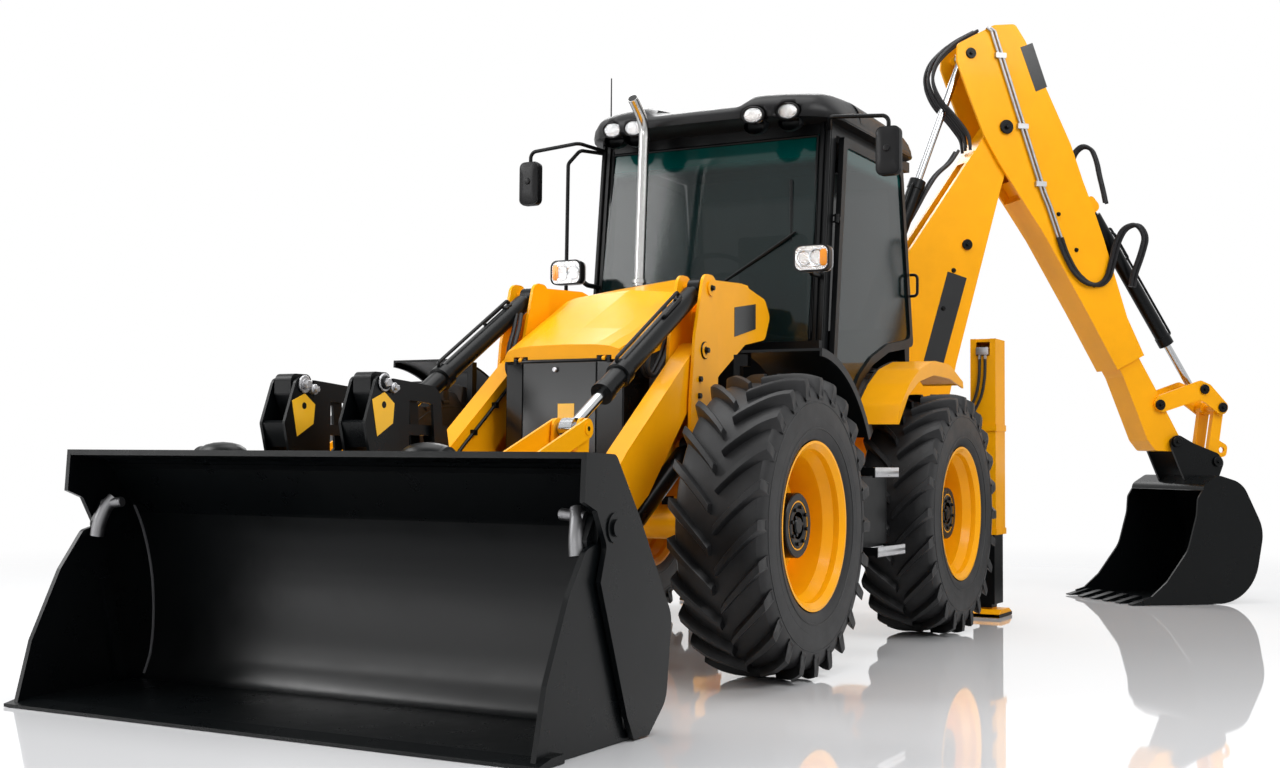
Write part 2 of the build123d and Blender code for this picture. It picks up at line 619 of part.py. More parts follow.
post_y = CAB_HALF - POST / 2
cover_y = (ARCH_HALF + CAB_HALF - 1) / 2
cover_half = (CAB_HALF - 1 - ARCH_HALF) / 2 + 1
wall_half = CAB_HALF - 1
door_lean = (CAB_FRONT_LOW - CAB_FRONT_TOP) / (CAB_TOP - CAB_FLOOR)
half_cab = [
    post(CAB_FRONT_LOW - POST / 2, CAB_FLOOR, CAB_FRONT_TOP - POST / 2, CAB_TOP, post_y),
    post(CAB_BACK + POST / 2, ARCH_TOP - 20, BACK_TOP, CAB_TOP, post_y),
    box(CAB_BACK, CAB_FRONT_TOP - POST + 20, post_y - POST / 2, post_y + POST / 2, CAB_TOP - RAIL_H,
        CAB_TOP),
    box(CAB_REAR_WALL, ARCH_FRONT + SHEET, ARCH_HALF - SHEET, ARCH_HALF, CAB_FLOOR, ARCH_TOP),
    box(CAB_REAR_WALL - 1, ARCH_FRONT + SHEET, cover_y - cover_half, cover_y + cover_half, ARCH_TOP - SHEET,
        ARCH_TOP),
    box(ARCH_FRONT, ARCH_FRONT + SHEET, cover_y - cover_half, cover_y + cover_half, CAB_FLOOR, ARCH_TOP),
    post(CAB_FRONT_LOW + 7, CAB_FLOOR, CAB_FRONT_TOP + 7, CAB_TOP, CAB_HALF - 10, 18, 16),
    post(CAB_FRONT_LOW + 7, CAB_FLOOR, CAB_FRONT_TOP + 7, CAB_TOP, CAB_HALF - 48, 18, 16),
]
for x in (-200, 800):
    half_cab.append(box(x, x + 80, rail_middle - 20, rail_middle + 20, RAIL_TOP + SEAT_FIT, CAB_FLOOR + 1))
across = [
    box(ARCH_FRONT, CAB_FRONT_LOW, -wall_half, wall_half, CAB_FLOOR, CAB_FLOOR + SHEET),
    box(CAB_REAR_WALL, ARCH_FRONT + 1, -ARCH_HALF, ARCH_HALF, CAB_FLOOR, CAB_FLOOR + SHEET),
    box(CAB_BACK, CAB_BACK + SHEET, -wall_half, wall_half, ARCH_TOP - 20, 1800),
    box(CAB_BACK, BACK_TOP, -wall_half, wall_half, ARCH_TOP - SHEET, ARCH_TOP),
    box(CAB_REAR_WALL, BACK_TOP, -ARCH_HALF, ARCH_HALF, CAB_FLOOR, ARCH_TOP - 20),
    box(CAB_FRONT_LOW - 60, CAB_FRONT_LOW, -wall_half, wall_half, CAB_FLOOR, SILL),
    box(CAB_FRONT_TOP - POST, CAB_FRONT_TOP, -wall_half, wall_half, CAB_TOP - RAIL_H, CAB_TOP),
    box(CAB_REAR_WALL, CAB_REAR_WALL + POST, -wall_half, wall_half, CAB_TOP - RAIL_H, CAB_TOP),
]

# Grab rail and mirrors on tubes, and the arms of the head lamps, all carried by the front posts
TUBE_R = 11
MIRROR_Y = CAB_HALF + 390
MIRROR_Z = 2605
HEAD_Y = CAB_HALF + 30
HEAD_Z = 2036
HEAD_BACK = 1130
HINGE_AT = (185, 1110)
door_foot = (CAB_FRONT_LOW - 78, CAB_HALF + 21, 1190)


def pillar_x(z):
    """The front posts' middle line."""
    return CAB_FRONT_LOW - POST / 2 - (z - CAB_FLOOR) * door_lean


def hinge_point(rise):
    """A place on the door's leaning axis, at a height over its foot."""
    return (door_foot[0] - rise * door_lean, door_foot[1], door_foot[2] + rise)


mirror_arm = pipe([(pillar_x(2790) + 20, CAB_HALF - 20, 2790), (1010, CAB_HALF + 60, 2815),
                   (1010, MIRROR_Y, 2790),
                   (1010, MIRROR_Y, MIRROR_Z)], TUBE_R, 40)
mirror_head = box(985, 1030, MIRROR_Y - 65, MIRROR_Y + 65, MIRROR_Z - 130, MIRROR_Z + 125)
mirror_head = fillet(mirror_head.edges().filter_by(Axis.X), 35)
grab_rail = pipe([(pillar_x(2780) + 25, CAB_HALF - 10, 2780), (975, CAB_HALF + 70, 2780),
                  (1010, CAB_HALF + 130, 2700),
                  (1020, CAB_HALF + 130, 1900), (pillar_x(1830) + 25, CAB_HALF - 10, 1830)], TUBE_R, 40)
head_arm = fused(pipe([(pillar_x(HEAD_Z - 60) + 20, CAB_HALF - 30, HEAD_Z - 60),
                       (1060, CAB_HALF - 30, HEAD_Z - 60),
                       (1060, HEAD_Y, HEAD_Z), (HEAD_BACK - 4, HEAD_Y, HEAD_Z)], 14, 25),
                 box(HEAD_BACK - 12, HEAD_BACK - SEAT_FIT, HEAD_Y - 30, HEAD_Y + 30, HEAD_Z - 25,
                     HEAD_Z + 25))
half_cab += [mirror_arm, mirror_head, head_arm]

# Door hinge eyes on the posts, and the brackets under the rear fenders
hinge_way = Vector(-door_lean, 0, 1).normalized()
for rise in HINGE_AT:
    for shift in (-24, 12):
        low = Vector(*hinge_point(rise)) + hinge_way * shift
        eye = bar(tuple(low), tuple(low + hinge_way * 12), 13)
        arm_z = (low + hinge_way * 6).Z
        reach = box(low.X - 10, low.X + 10, CAB_HALF - 5, CAB_HALF + 15, arm_z - 4, arm_z + 4)
        half_cab += [eye, reach]
    low = Vector(*hinge_point(rise)) - hinge_way * 24
    half_cab.append(bar(tuple(low), tuple(low + hinge_way * 48), 7))

FENDER_IN_Y = CAB_HALF + 55
FENDER_OUT_Y = FENDER_IN_Y + 255
FENDER_T = 12
FENDER = [(640, 1180), (580, 1290, 80), (430, 1410, 200), (250, 1505, 200), (0, 1565, 300),
          (-300, 1560, 300),
          (-570, 1470), (-580, 1430), (-300, 1475, 300), (0, 1480, 300), (270, 1430, 200), (450, 1345, 100),
          (612, 1180)]
FENDER_IN = [(628, 1100), (570, 1280, 70), (424, 1396, 190), (246, 1490, 190), (0, 1551, 290),
             (-298, 1546, 290),
             (-568, 1457), (-700, 1300), (0, 1000)]
fender = plate(FENDER, FENDER_IN_Y, FENDER_OUT_Y) - plate(FENDER_IN, FENDER_IN_Y - 1,
                                                          FENDER_OUT_Y - FENDER_T)
keep("rear_fenders", *both(fender))
under_fender = plate(FENDER_IN, CAB_HALF - 1, FENDER_IN_Y + 60).moved(Location((0, 0, -SEAT_FIT)))
for x in (-250, 170):
    half_cab.append(box(x, x + 60, CAB_HALF - 2, FENDER_IN_Y + 60, ARCH_TOP - 35,
                        ARCH_TOP + 60) & under_fender)

cab = fused(*across)
for solid in half_cab:
    cab = fused(cab, solid, mirrored(solid))
keep("cab_frame", fused(cab, mirrored(grab_rail)))

# Roof: a shell-like cap with a brow over each pair of work lamps
ROOF_PLAN = [(-430, -700), (-330, -785), (760, -785), (905, -740), (1000, -620), (1085, -440), (1110, 0),
             (1085, 440),
             (1000, 620), (905, 740), (760, 785), (-330, 785), (-430, 700)]
ROOF_SIDE = [(-430, CAB_TOP + SEAT_FIT), (-440, 2900, 30), (-330, 2985, 60), (600, 3005, 200),
             (1000, 2925, 60),
             (1112, 2880, 15), (1112, 2835), (940, CAB_TOP + SEAT_FIT)]
BROWS = [
    # y, height of the top, x of the front edge
    (270, 2925, 1108),
    (400, 2985, 1095),
    (560, 3015, 1040),
    (700, 2990, 950),
]


def brow_section(y, top, front):
    points = [(560, 2900), (560, top - 10), (front - 230, top), (front - 60, top - 45), (front + 8, 2890),
              (front, 2850)]
    return Wire.make_polygon([Vector(x, y, z) for x, z in points])


brow = Solid.make_loft([brow_section(*row) for row in BROWS], True)
roof = plate(ROOF_SIDE, -790, 790) & floor_plan(ROOF_PLAN, CAB_TOP - 50, 3100)
roof = fused(roof, brow, mirrored(brow))
LAMP_R = 44
LAMP_DEPTH = 50
ROOF_LAMPS = [
    # x, y, z of the lens
    (1020, 544, 2868),
    (1088, 369, 2850),
]
roof_lamps = []
for x, y, z in ROOF_LAMPS:
    way = Vector(1, 0, -0.17).normalized()
    lens = Vector(x, y, z)
    start, end = tuple(lens - way * LAMP_DEPTH), tuple(lens + way * 8)
    seat = bar(tuple(lens - way * (LAMP_DEPTH + SEAT_FIT)), tuple(lens + way * 70), LAMP_R + SEAT_FIT)
    roof = roof - seat - mirrored(seat)
    roof_lamps += both(bar(start, end, LAMP_R))
keep("cab_roof", roof)
head = box(HEAD_BACK, HEAD_BACK + 60, HEAD_Y - 100, HEAD_Y + 100, HEAD_Z - 68, HEAD_Z + 72)
head = fillet(head.edges().filter_by(Axis.X), 40)
keep("lamps", *both(head), *roof_lamps)

# Glass: windscreen and rear window
shut = 1
SCREEN = [(CAB_FRONT_LOW - 10, SILL + shut), (CAB_FRONT_LOW - 10 + GLASS, SILL + shut),
          (CAB_FRONT_TOP - 3 + GLASS, CAB_TOP - RAIL_H - shut),
          (CAB_FRONT_TOP - 3, CAB_TOP - RAIL_H - shut)]
BACK_PANE = [(CAB_BACK + 10, 1801), (CAB_BACK + 10 + GLASS, 1801), (BACK_TOP - 12, CAB_TOP - RAIL_H - shut),
             (BACK_TOP - 20, CAB_TOP - RAIL_H - shut)]
pane_half = CAB_HALF - POST - SEAT_FIT
keep("cab_glass", plate(SCREEN, -pane_half, pane_half), plate(BACK_PANE, -pane_half, pane_half))

# Doors
DOOR = [(CAB_FRONT_LOW - 78, 1190, 20), (CAB_FRONT_TOP - 90, 2765, 20), (-255, 2765, 40), (-450, 1690, 40),
        (-300, 1660, 60), (0, 1620, 200), (270, 1530, 200), (460, 1420, 150), (590, 1280, 100), (640, 1190)]
DOOR_PANE = [(CAB_FRONT_LOW - 130, 1260, 20), (CAB_FRONT_TOP - 142, 2712, 30), (-218, 2712, 40),
             (-395, 1735, 40),
             (-300, 1712, 60), (10, 1668, 200), (292, 1574, 200), (490, 1460, 150), (632, 1310, 60),
             (668, 1260, 20)]
door_in, door_out = CAB_HALF + 6, CAB_HALF + 36
door = plate(DOOR, door_in, door_out) - plate(DOOR_PANE, door_in - 1, door_out + 1)
for rise in HINGE_AT:
    low = Vector(*hinge_point(rise)) - hinge_way * 11.5
    knuckle_eye = bar(tuple(low), tuple(low + hinge_way * 23), 13)
    strap = box(low.X - 42, low.X - 8, door_in, door_out, low.Z + 2, low.Z + 20)
    room = bar(tuple(low - hinge_way * 20), tuple(low + hinge_way * 43), 19)
    door = fused(door - room, knuckle_eye, strap)
    door = door - bar(tuple(low - hinge_way), tuple(low + hinge_way * 24), 7 + RUN_FIT)
handle = pipe([(-390, door_out - 2, 2120), (-390, door_out + 45, 2120), (-390, door_out + 45, 1990),
               (-390, door_out - 2, 1990)], 9, 25)
door = fused(door, handle)
pane = plate(DOOR_PANE, door_in + 10, door_in + 10 + GLASS)
keep("door_left", door)
keep("door_right", mirrored(door))
keep("door_left_glass", pane)
keep("door_right_glass", mirrored(pane))

# Controls and seat
FLOOR_TOP = CAB_FLOOR + SHEET
column = fused(box(800, 900, -60, 60, FLOOR_TOP, 1800), bar((830, 0, 1790), (690, 0, 2010), 30))
wheel_ring = Solid.make_torus(190, 14, Plane((665, 0, 2045), z_dir=(-0.55, 0, 1)))
spoke = bar((665, -185, 2045), (665, 185, 2045), 10)
column = fused(column, spoke, wheel_ring, bar((691, 0, 2005), (665, 0, 2047), 20))
seat_base = fused(box(60, 420, -200, 200, FLOOR_TOP, 1560), bar((200, 0, 1500), (200, 0, 1600), 60))
keep("cab_controls", column, seat_base)
CUSHION_TOP = 1720
cushion = fillet(box(-70, 500, -250, 250, 1600, CUSHION_TOP).edges(), 40)
backrest = fillet(box(-90, 50, -240, 240, CUSHION_TOP + SEAT_FIT, 2380).edges(), 40)
keep("seat_cushions", cushion, backrest)

# Tank and steps between the tyres
TANK_BACK = TYRE_R + 195
TANK_FRONT = WHEELBASE - TYRE_R - 153
TANK_MIDDLE = (TANK_BACK + TANK_FRONT) / 2
TANK_L = TANK_FRONT - TANK_BACK
STEPS = [
    # middle behind or ahead of the tank's, share of the tank's length, lowest z
    (30, 0.84, 520),
    (100, 0.72, 915),
]
tank = fillet(box(TANK_BACK, TANK_FRONT, 560, 1060, 500, 900).edges().filter_by(Axis.Z), 40)
for ahead, share, z in STEPS:
    x0 = TANK_MIDDLE + ahead - TANK_L * share / 2
    x1 = TANK_MIDDLE + ahead + TANK_L * share / 2
    tread = box(x0, x1, 1040, 1180, z, z + 14)
    rim_strip = box(x0, x1, 1168, 1180, z - 20, z + 30)
    ends = [box(x, x + 8, 1040, 1180, z - 10, z + 30) for x in (x0, x1 - 8)]
    tank = fused(tank, tread, rim_strip, *ends)
for x in (TANK_BACK + 20, TANK_FRONT - 50):
    tank = fused(tank, box(x, x + 12, 1020, 1060, 500, 935))
tank = fused(tank, box(TANK_MIDDLE - TANK_L * 0.26, TANK_MIDDLE + TANK_L * 0.24, RAIL_Y + RAIL_W + SEAT_FIT, 561,
                       820, 880))
keep("tank_and_steps", *both(tank))

# Rear frame: stabiliser housings and sideshift beams
BEAMS = [
    # lowest z, height
    (600, 120),
    (1210, 120),
]
half_l, half_w = HOUSING_L / 2, HOUSING_W / 2
leg_half_x, leg_half_y = half_l - HOUSING_WALL, half_w - HOUSING_WALL
housing = box(FRAME_X - half_l, FRAME_X + half_l, LEG_Y - half_w, LEG_Y + half_w, HOUSING_LOW, HOUSING_TOP)
housing = housing - box(FRAME_X - leg_half_x, FRAME_X + leg_half_x, LEG_Y - leg_half_y, LEG_Y + leg_half_y,
                        HOUSING_LOW - 1, HOUSING_TOP - 20)
housing = housing - box(FRAME_X + leg_half_x - 1, FRAME_X + half_l + 1, LEG_Y - 45, LEG_Y + 45,
                        HOUSING_TOP - 110,
                        HOUSING_TOP + 1)
for z in (HOUSING_LOW, 1180):
    housing = fused(housing, box(FRAME_X - half_l - 6, FRAME_X + half_l + 6, LEG_Y - half_w - 6,
                                 LEG_Y + half_w + 6,
                                 z, z + 40))
housing = housing - box(FRAME_X - leg_half_x, FRAME_X + leg_half_x, LEG_Y - leg_half_y, LEG_Y + leg_half_y,
                        HOUSING_LOW - 1, HOUSING_TOP - 20)
beam_y = LEG_Y - half_w + 1
rear_side = box(FRAME_X + BEAM_HALF - 1, FRAME_BACK - SEAT_FIT, rail_middle - 60, rail_middle + 60,
                BEAMS[0][0],
                BEAMS[1][0] + BEAMS[1][1])
beams = [box(FRAME_X - BEAM_HALF, FRAME_X + BEAM_HALF, -beam_y, beam_y, low, low + height) for low,
         height in BEAMS]
half_rear = fused(housing, rear_side)
keep("rear_frame", fused(half_rear, mirrored(half_rear), *beams))

# Stabiliser legs with their pads
LEG_LOW = 80
PAD = [(-150, 0), (150, 0), (150, 22), (90, 48), (-90, 48), (-150, 22)]
leg_x, leg_y = leg_half_x - SLIDE_FIT, leg_half_y - SLIDE_FIT
leg = box(FRAME_X - leg_x, FRAME_X + leg_x, LEG_Y - leg_y, LEG_Y + leg_y, LEG_LOW, 1300)
pad = plate([(FRAME_X + x, z) for x, z in PAD], LEG_Y - 110, LEG_Y + 110)
neck = box(FRAME_X - 60, FRAME_X + 60, LEG_Y - 40, LEG_Y + 40, 40, LEG_LOW + 1)
leg = fused(leg, pad, neck)
keep("stabiliser_left", leg)
keep("stabiliser_right", mirrored(leg))

# Carriage on the beams
CARRIAGE_T = 60
CARRIAGE_HALF = 240
plate_x = FRAME_X - BEAM_HALF - SLIDE_FIT
carriage = box(plate_x - CARRIAGE_T, plate_x, -CARRIAGE_HALF, CARRIAGE_HALF, 560, 1370)
for low, height in BEAMS:
    for z in (low - 35 - SLIDE_FIT, low + height + SLIDE_FIT):
        carriage = fused(carriage, box(plate_x - CARRIAGE_T, FRAME_X + 40, -CARRIAGE_HALF, CARRIAGE_HALF, z,
                                       z + 35))
KING_LUGS = [
    # lowest z, height
    (560, 60),
    (1290, 60),
]
for z, height in KING_LUGS:
    king_lug = fused(box(SLEW_X, plate_x, -110, 110, z, z + height),
                     bar((SLEW_X, 0, z), (SLEW_X, 0, z + height), 110))
    carriage = fused(carriage, king_lug - bar((SLEW_X, 0, z - 1), (SLEW_X, 0, z + height + 1),
                                              SLEW_PIN_R + RUN_FIT))
keep("sideshift_carriage", carriage)


# Backhoe, drawn straight behind the slew axis and then slewed
def hoe(points):
    return [(SLEW_X - p[0],) + tuple(p[1:]) for p in points]


def at_hoe(point):
    return (SLEW_X - point[0], point[1])


def slewed(shape):
    return shape.rotate(Axis((SLEW_X, 0, 0), (0, 0, 1)), SLEW_ANGLE)


def pair(points, inside, thick):
    """Two like plates of the backhoe, either side of its middle plane."""
    side_plate = plate(hoe(points), inside, inside + thick)
    return both(side_plate)


def stubs(place, inside, outside, radius):
    """Two like pins of the backhoe, either side of its middle plane."""
    return both(pin(at_hoe(place), inside, outside, radius))


gap_low = KING_LUGS[0][0] + KING_LUGS[0][1] + 1
gap_high = KING_LUGS[1][0] - 1
king_x = (SLEW_X, 0)
EAR_IN, EAR_OUT = 37, 52
KING_SIDE = [(0, 640), (300, 640, 40), (470, 700, 60), (470, 840, 60), (260, 1080, 80), (120, 1280, 40),
             (0, 1280)]
KING_CORE = [(0, 640), (200, 640), (200, 1080), (0, 1080)]
RAM_EARS = [(60, 1060), (150, 1060), (245, 1150, 40), (235, 1230, 35), (140, 1240, 40)]
king = fused(bar(king_x + (gap_low,), king_x + (gap_high,), 95),
             bar(king_x + (KING_LUGS[0][0] + 1,), king_x + (gap_high + 60,), SLEW_PIN_R),
             *pair(KING_SIDE, BOOM_HALF + 7, 25), plate(hoe(KING_CORE), -BOOM_HALF - 8, BOOM_HALF + 8),
             pin(at_hoe(BOOM_FOOT), -BOOM_HALF - 40, BOOM_HALF + 40, BIG_PIN_R),
             *pair(RAM_EARS, EAR_IN, EAR_OUT - EAR_IN), pin(at_hoe(BOOM_RAM_BASE), -EAR_OUT, EAR_OUT,
                                                            PIN_R))
keep("kingpost", slewed(king))

BOOM = [(290, 690, 60), (440, 660, 60), (520, 800), (720, 1670), (1060, 2900), (1130, 3130),
        (1190, 3300, 80),
        (1150, 3440, 80), (1020, 3400, 60), (370, 2450, 100), (240, 2000), (260, 900)]
SLOT = [(-100, 900), (420, 900), (560, 1500), (900, 2400), (900, 2600), (760, 2640, 20), (560, 2640, 20),
        (250, 2050),
        (-100, 1700)]
DIP_SLOT = [(-80, 1560), (60, 1560), (330, 2080), (500, 2450), (770, 2920), (830, 3090), (600, 3200),
            (0, 2300)]
DIP_EAR_T = 18
DIP_EARS = [(-18, 1782, 30), (-18, 1690, 30), (100, 1640, 60), (300, 1540), (360, 1900), (200, 1785, 40)]
SLOT_HALF = 64
boom = plate(hoe(BOOM), -BOOM_HALF, BOOM_HALF)
boom = boom - pin(at_hoe(BOOM_FOOT), -200, 200, BIG_PIN_R + RUN_FIT)
boom = boom - plate(hoe(SLOT), -SLOT_HALF, SLOT_HALF) - plate(hoe(DIP_SLOT), -SLOT_HALF, SLOT_HALF)
boom = fused(boom, *stubs(BOOM_RAM_EYE, 36, BOOM_HALF + 6, PIN_R + 10),
             *pair(DIP_EARS, SLOT_HALF + 2, DIP_EAR_T),
             pin(at_hoe(DIPPER_RAM_BASE), -SLOT_HALF - DIP_EAR_T, SLOT_HALF + DIP_EAR_T, PIN_R))
boom = boom - pin(at_hoe(DIPPER_PIN), -200, 200, BIG_PIN_R + RUN_FIT)
keep("boom", slewed(boom))

HOE_RAMS = [
    # name, base, eye, bore, rod, barrel's share, eye radius, eye width, pin end, closes by
    ("boom_ram", BOOM_RAM_BASE, BOOM_RAM_EYE, 45, 28, 0.88, 48, 64, 3, 60),
    ("dipper_ram", DIPPER_RAM_BASE, DIPPER_RAM_EYE, 45, 28, 0.575, 48, 64, 3, 910),
    ("bucket_ram", TIP_RAM_BASE, LEVER_EYE, 42, 26, 0.75, 46, 62, 4, 300),
]
for name, base, eye, *sizes in HOE_RAMS:
    barrel, stem = ram(at_hoe(base), at_hoe(eye), 0, *sizes)
    keep(name + "_barrel", slewed(barrel))
    keep(name + "_rod", slewed(stem))

# The dipper's own frame: distance along it, and height across it
run = hypot(TOOL_PIN[0] - DIPPER_PIN[0], TOOL_PIN[1] - DIPPER_PIN[1])
ux, uz = (TOOL_PIN[0] - DIPPER_PIN[0]) / run, (TOOL_PIN[1] - DIPPER_PIN[1]) / run


def dip(distance, height, *radius):
    return (ux * distance - uz * height, uz * distance + ux * height) + radius


DIPPER = [(720, 3920, 40), (1000, 4075, 60), (1165, 4095, 40), (1245, 3980), (1600, 3260), (1700, 2990, 60),
          (1780, 2800, 60), (1860, 2590, 80), (2045, 2030), (2180, 1760), (1965, 1650), (1710, 2080),
          (1395, 2590),
          (1040, 3090), (920, 3290), (800, 3580), (715, 3800, 30)]
THROAT = [(500, 4300), (1050, 4300), (1060, 3800), (1290, 3500), (1300, 3200), (1240, 2880), (1160, 2760),
          (900, 2900),
          (500, 3400)]
SLOT_LOW, SLOT_HIGH = 2700, 3300
dipper = plate(hoe(DIPPER), -DIPPER_HALF, DIPPER_HALF)
dipper = dipper - plate(hoe(THROAT), -BOOM_HALF - 8, BOOM_HALF + 8)
TUNNEL = [dip(-2000, INNER_LOW - SLIDE_FIT), dip(-2000, INNER_HIGH + SLIDE_FIT),
          dip(-200, INNER_HIGH + SLIDE_FIT),
          dip(-200, INNER_LOW - SLIDE_FIT)]
dipper = dipper - plate(hoe(TUNNEL), -INNER_HALF - SLIDE_FIT, INNER_HALF + SLIDE_FIT)
TOP_SLOT = [dip(-1600, SLOT_LOW), dip(-1600, SLOT_HIGH), dip(-200, SLOT_HIGH), dip(-200, SLOT_LOW)]
dipper = dipper - plate(hoe(TOP_SLOT), -66, 66)
dipper = fused(dipper, pin(at_hoe(DIPPER_PIN), -DIPPER_HALF - 8, DIPPER_HALF + 8, BIG_PIN_R),
               *stubs(DIPPER_RAM_EYE, 36, BOOM_HALF + 9, PIN_R + 10))
keep("dipper", slewed(dipper))

# Two steel pipes along the dipper's side, held by clamps
PIPE_R = 10
PIPE_Y = DIPPER_HALF + 16
PIPE_STEP = 30
PIPE_WAY = [(930, 4050), (971, 4026), (1148, 3510), (1364, 2885), (1404, 2796), (1483, 2582)]
CLAMPS = [(1030, 3855), (1200, 3360), (1340, 2955)]
dipper_pipes = []
for step in (0, PIPE_STEP):
    way = [(SLEW_X - s - step, PIPE_Y, z) for s, z in PIPE_WAY]
    dipper_pipes.append(pipe(way, PIPE_R, 25))
for s, z in CLAMPS:
    dipper_pipes.append(box(SLEW_X - s - PIPE_STEP - 22, SLEW_X - s + 28, DIPPER_HALF + SEAT_FIT,
                            PIPE_Y + PIPE_R + 4,
                            z - 18, z + 18))
keep("dipper_pipes", slewed(fused(*dipper_pipes)))

NOSE = [dip(-1950, INNER_LOW), dip(-1950, INNER_HIGH), dip(-100, INNER_HIGH), (2375, 1350, 40),
        (2485, 1160, 55),
        (2440, 1072, 55), (2280, 1075, 30), (2215, 1150, 60), dip(-330, INNER_LOW)]
RAM_BRACKET = [dip(-1600, 2730), dip(-1560, 3060, 30), dip(-1450, 3080, 40), dip(-1430, 2900, 60),
               dip(-1330, 2730)]
inner_dipper = fused(plate(hoe(NOSE), -INNER_HALF, INNER_HALF), *pair(RAM_BRACKET, 40, 20),
                     pin(at_hoe(TIP_RAM_BASE), -62, 62, PIN_R),
                     pin(at_hoe(LEVER_PIN), -150, 150, TOOL_PIN_R))
inner_dipper = inner_dipper - pin(at_hoe(TOOL_PIN), -200, 200, TOOL_PIN_R + RUN_FIT)
keep("inner_dipper", slewed(inner_dipper))

LEVER = [(2245, 1400, 40), (2290, 1470, 40), (2640, 1590, 40), (2720, 1560, 40), (2880, 1400, 45),
         (2820, 1330, 45),
         (2640, 1450, 60), (2320, 1350, 30)]
lever_sides = pair(LEVER, 126, 18)
lever_bore = pin(at_hoe(LEVER_PIN), -200, 200, TOOL_PIN_R + RUN_FIT)
lever = fused(pin(at_hoe(LEVER_LINK), -150, 150, PIN_R),
              *[side_plate - lever_bore for side_plate in lever_sides],
              *stubs(LEVER_EYE, 37, 150, PIN_R))
keep("tipping_lever", slewed(lever))

LINK_R = 52
LINK_HALF = 40
LIFTING_EYE = along(LEVER_LINK, TOOL_LINK, 300, 75)
strap = [along(LEVER_LINK, TOOL_LINK, distance, side)
         for distance, side in ((10, -LINK_HALF), (10, LINK_HALF), (390, LINK_HALF), (390, -LINK_HALF))]
tool_link = fused(pin(at_hoe(TOOL_LINK), -112, 112, LINK_R), *pair(strap, 65, 40),
                  *stubs(LEVER_LINK, 42, 118, LINK_R))
tool_link = tool_link - pin(at_hoe(LEVER_LINK), -200, 200, PIN_R + RUN_FIT)
tool_link = tool_link - pin(at_hoe(TOOL_LINK), -200, 200, PIN_R + 2)
EYE_BORE_R = 22
EYE_EAR = [along(LEVER_LINK, TOOL_LINK, 220), along(LEVER_LINK, TOOL_LINK, 380),
           along(LEVER_LINK, TOOL_LINK, 340, 120) + (35,), along(LEVER_LINK, TOOL_LINK, 260, 120) + (35,)]
eye_ear = plate(hoe(EYE_EAR), 75, 95) - pin(at_hoe(LIFTING_EYE), 70, 100, EYE_BORE_R)
keep("bucket_link", slewed(fused(tool_link, eye_ear)))

# Backhoe bucket with its ears and teeth
HOE_WALL = 16
HOE_IN = [(1900, 23), (2815, 23, 310), (2908, 515, 240), (2750, 833, 160), (2565, 882, 40), (2455, 808, 40),
          (2300, 700)]
HOE_MOUTH = [(2440, 800), (2400, 740, 60), (2390, 620, 200), (2320, 380, 200), (2150, 160, 80), (2030, 60),
             (1960, 40),
             (1960, 3)]
HOE_BACK = [(2440, 830, 60), (2565, 905, 60), (2760, 850, 180), (2930, 520, 260), (2830, 3, 330)]
HOE_EARS = [(2360, 1140, 60), (2420, 1200, 60), (2560, 1130, 100), (2760, 1060, 50), (2810, 1000, 50),
            (2740, 830),
            (2500, 830), (2440, 960, 60)]
TOOTH = [(2060, 3), (1880, 3), (1880, 10), (2040, 52), (2060, 52)]
HOE_TEETH = 6
hoe_bucket = plate(hoe(HOE_BACK + list(reversed(HOE_MOUTH))), -HOE_BUCKET_HALF, HOE_BUCKET_HALF)
hoe_bucket = hoe_bucket - plate(hoe(HOE_IN), HOE_WALL - HOE_BUCKET_HALF, HOE_BUCKET_HALF - HOE_WALL)
hoe_bucket = fused(hoe_bucket, *pair(HOE_EARS, 150, 20), pin(at_hoe(TOOL_PIN), -176, 176, TOOL_PIN_R),
                   *stubs(TOOL_LINK, 116, 176, PIN_R))
tooth_pitch = (2 * HOE_BUCKET_HALF - 70) / (HOE_TEETH - 1)
for i in range(HOE_TEETH):
    y = -HOE_BUCKET_HALF + 35 + i * tooth_pitch
    hoe_bucket = fused(hoe_bucket, plate(hoe(TOOTH), y - 32, y + 32))
keep("backhoe_bucket", slewed(hoe_bucket))

# Everything moves so that the middle of the whole machine's foot is the origin
whole = [solid for solids in NODES.values() for solid in solids]
bounds = [solid.bounding_box() for solid in whole]
centre_x = (min(b.min.X for b in bounds) + max(b.max.X for b in bounds)) / 2
centre_y = (min(b.min.Y for b in bounds) + max(b.max.Y for b in bounds)) / 2
low_z = min(b.min.Z for b in bounds)
SHIFT = Location((-centre_x, -centre_y, -low_z))
for name, solids in NODES.items():
    shapes = [part.moved(SHIFT) for solid in solids for part in solid.solids()]
    shape = shapes[0] if len(shapes) == 1 else Compound(children=shapes)
    export_step(shape, f"parts/{name}.step")
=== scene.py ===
import math

import bmesh
import bpy
from mathutils import Matrix, Vector


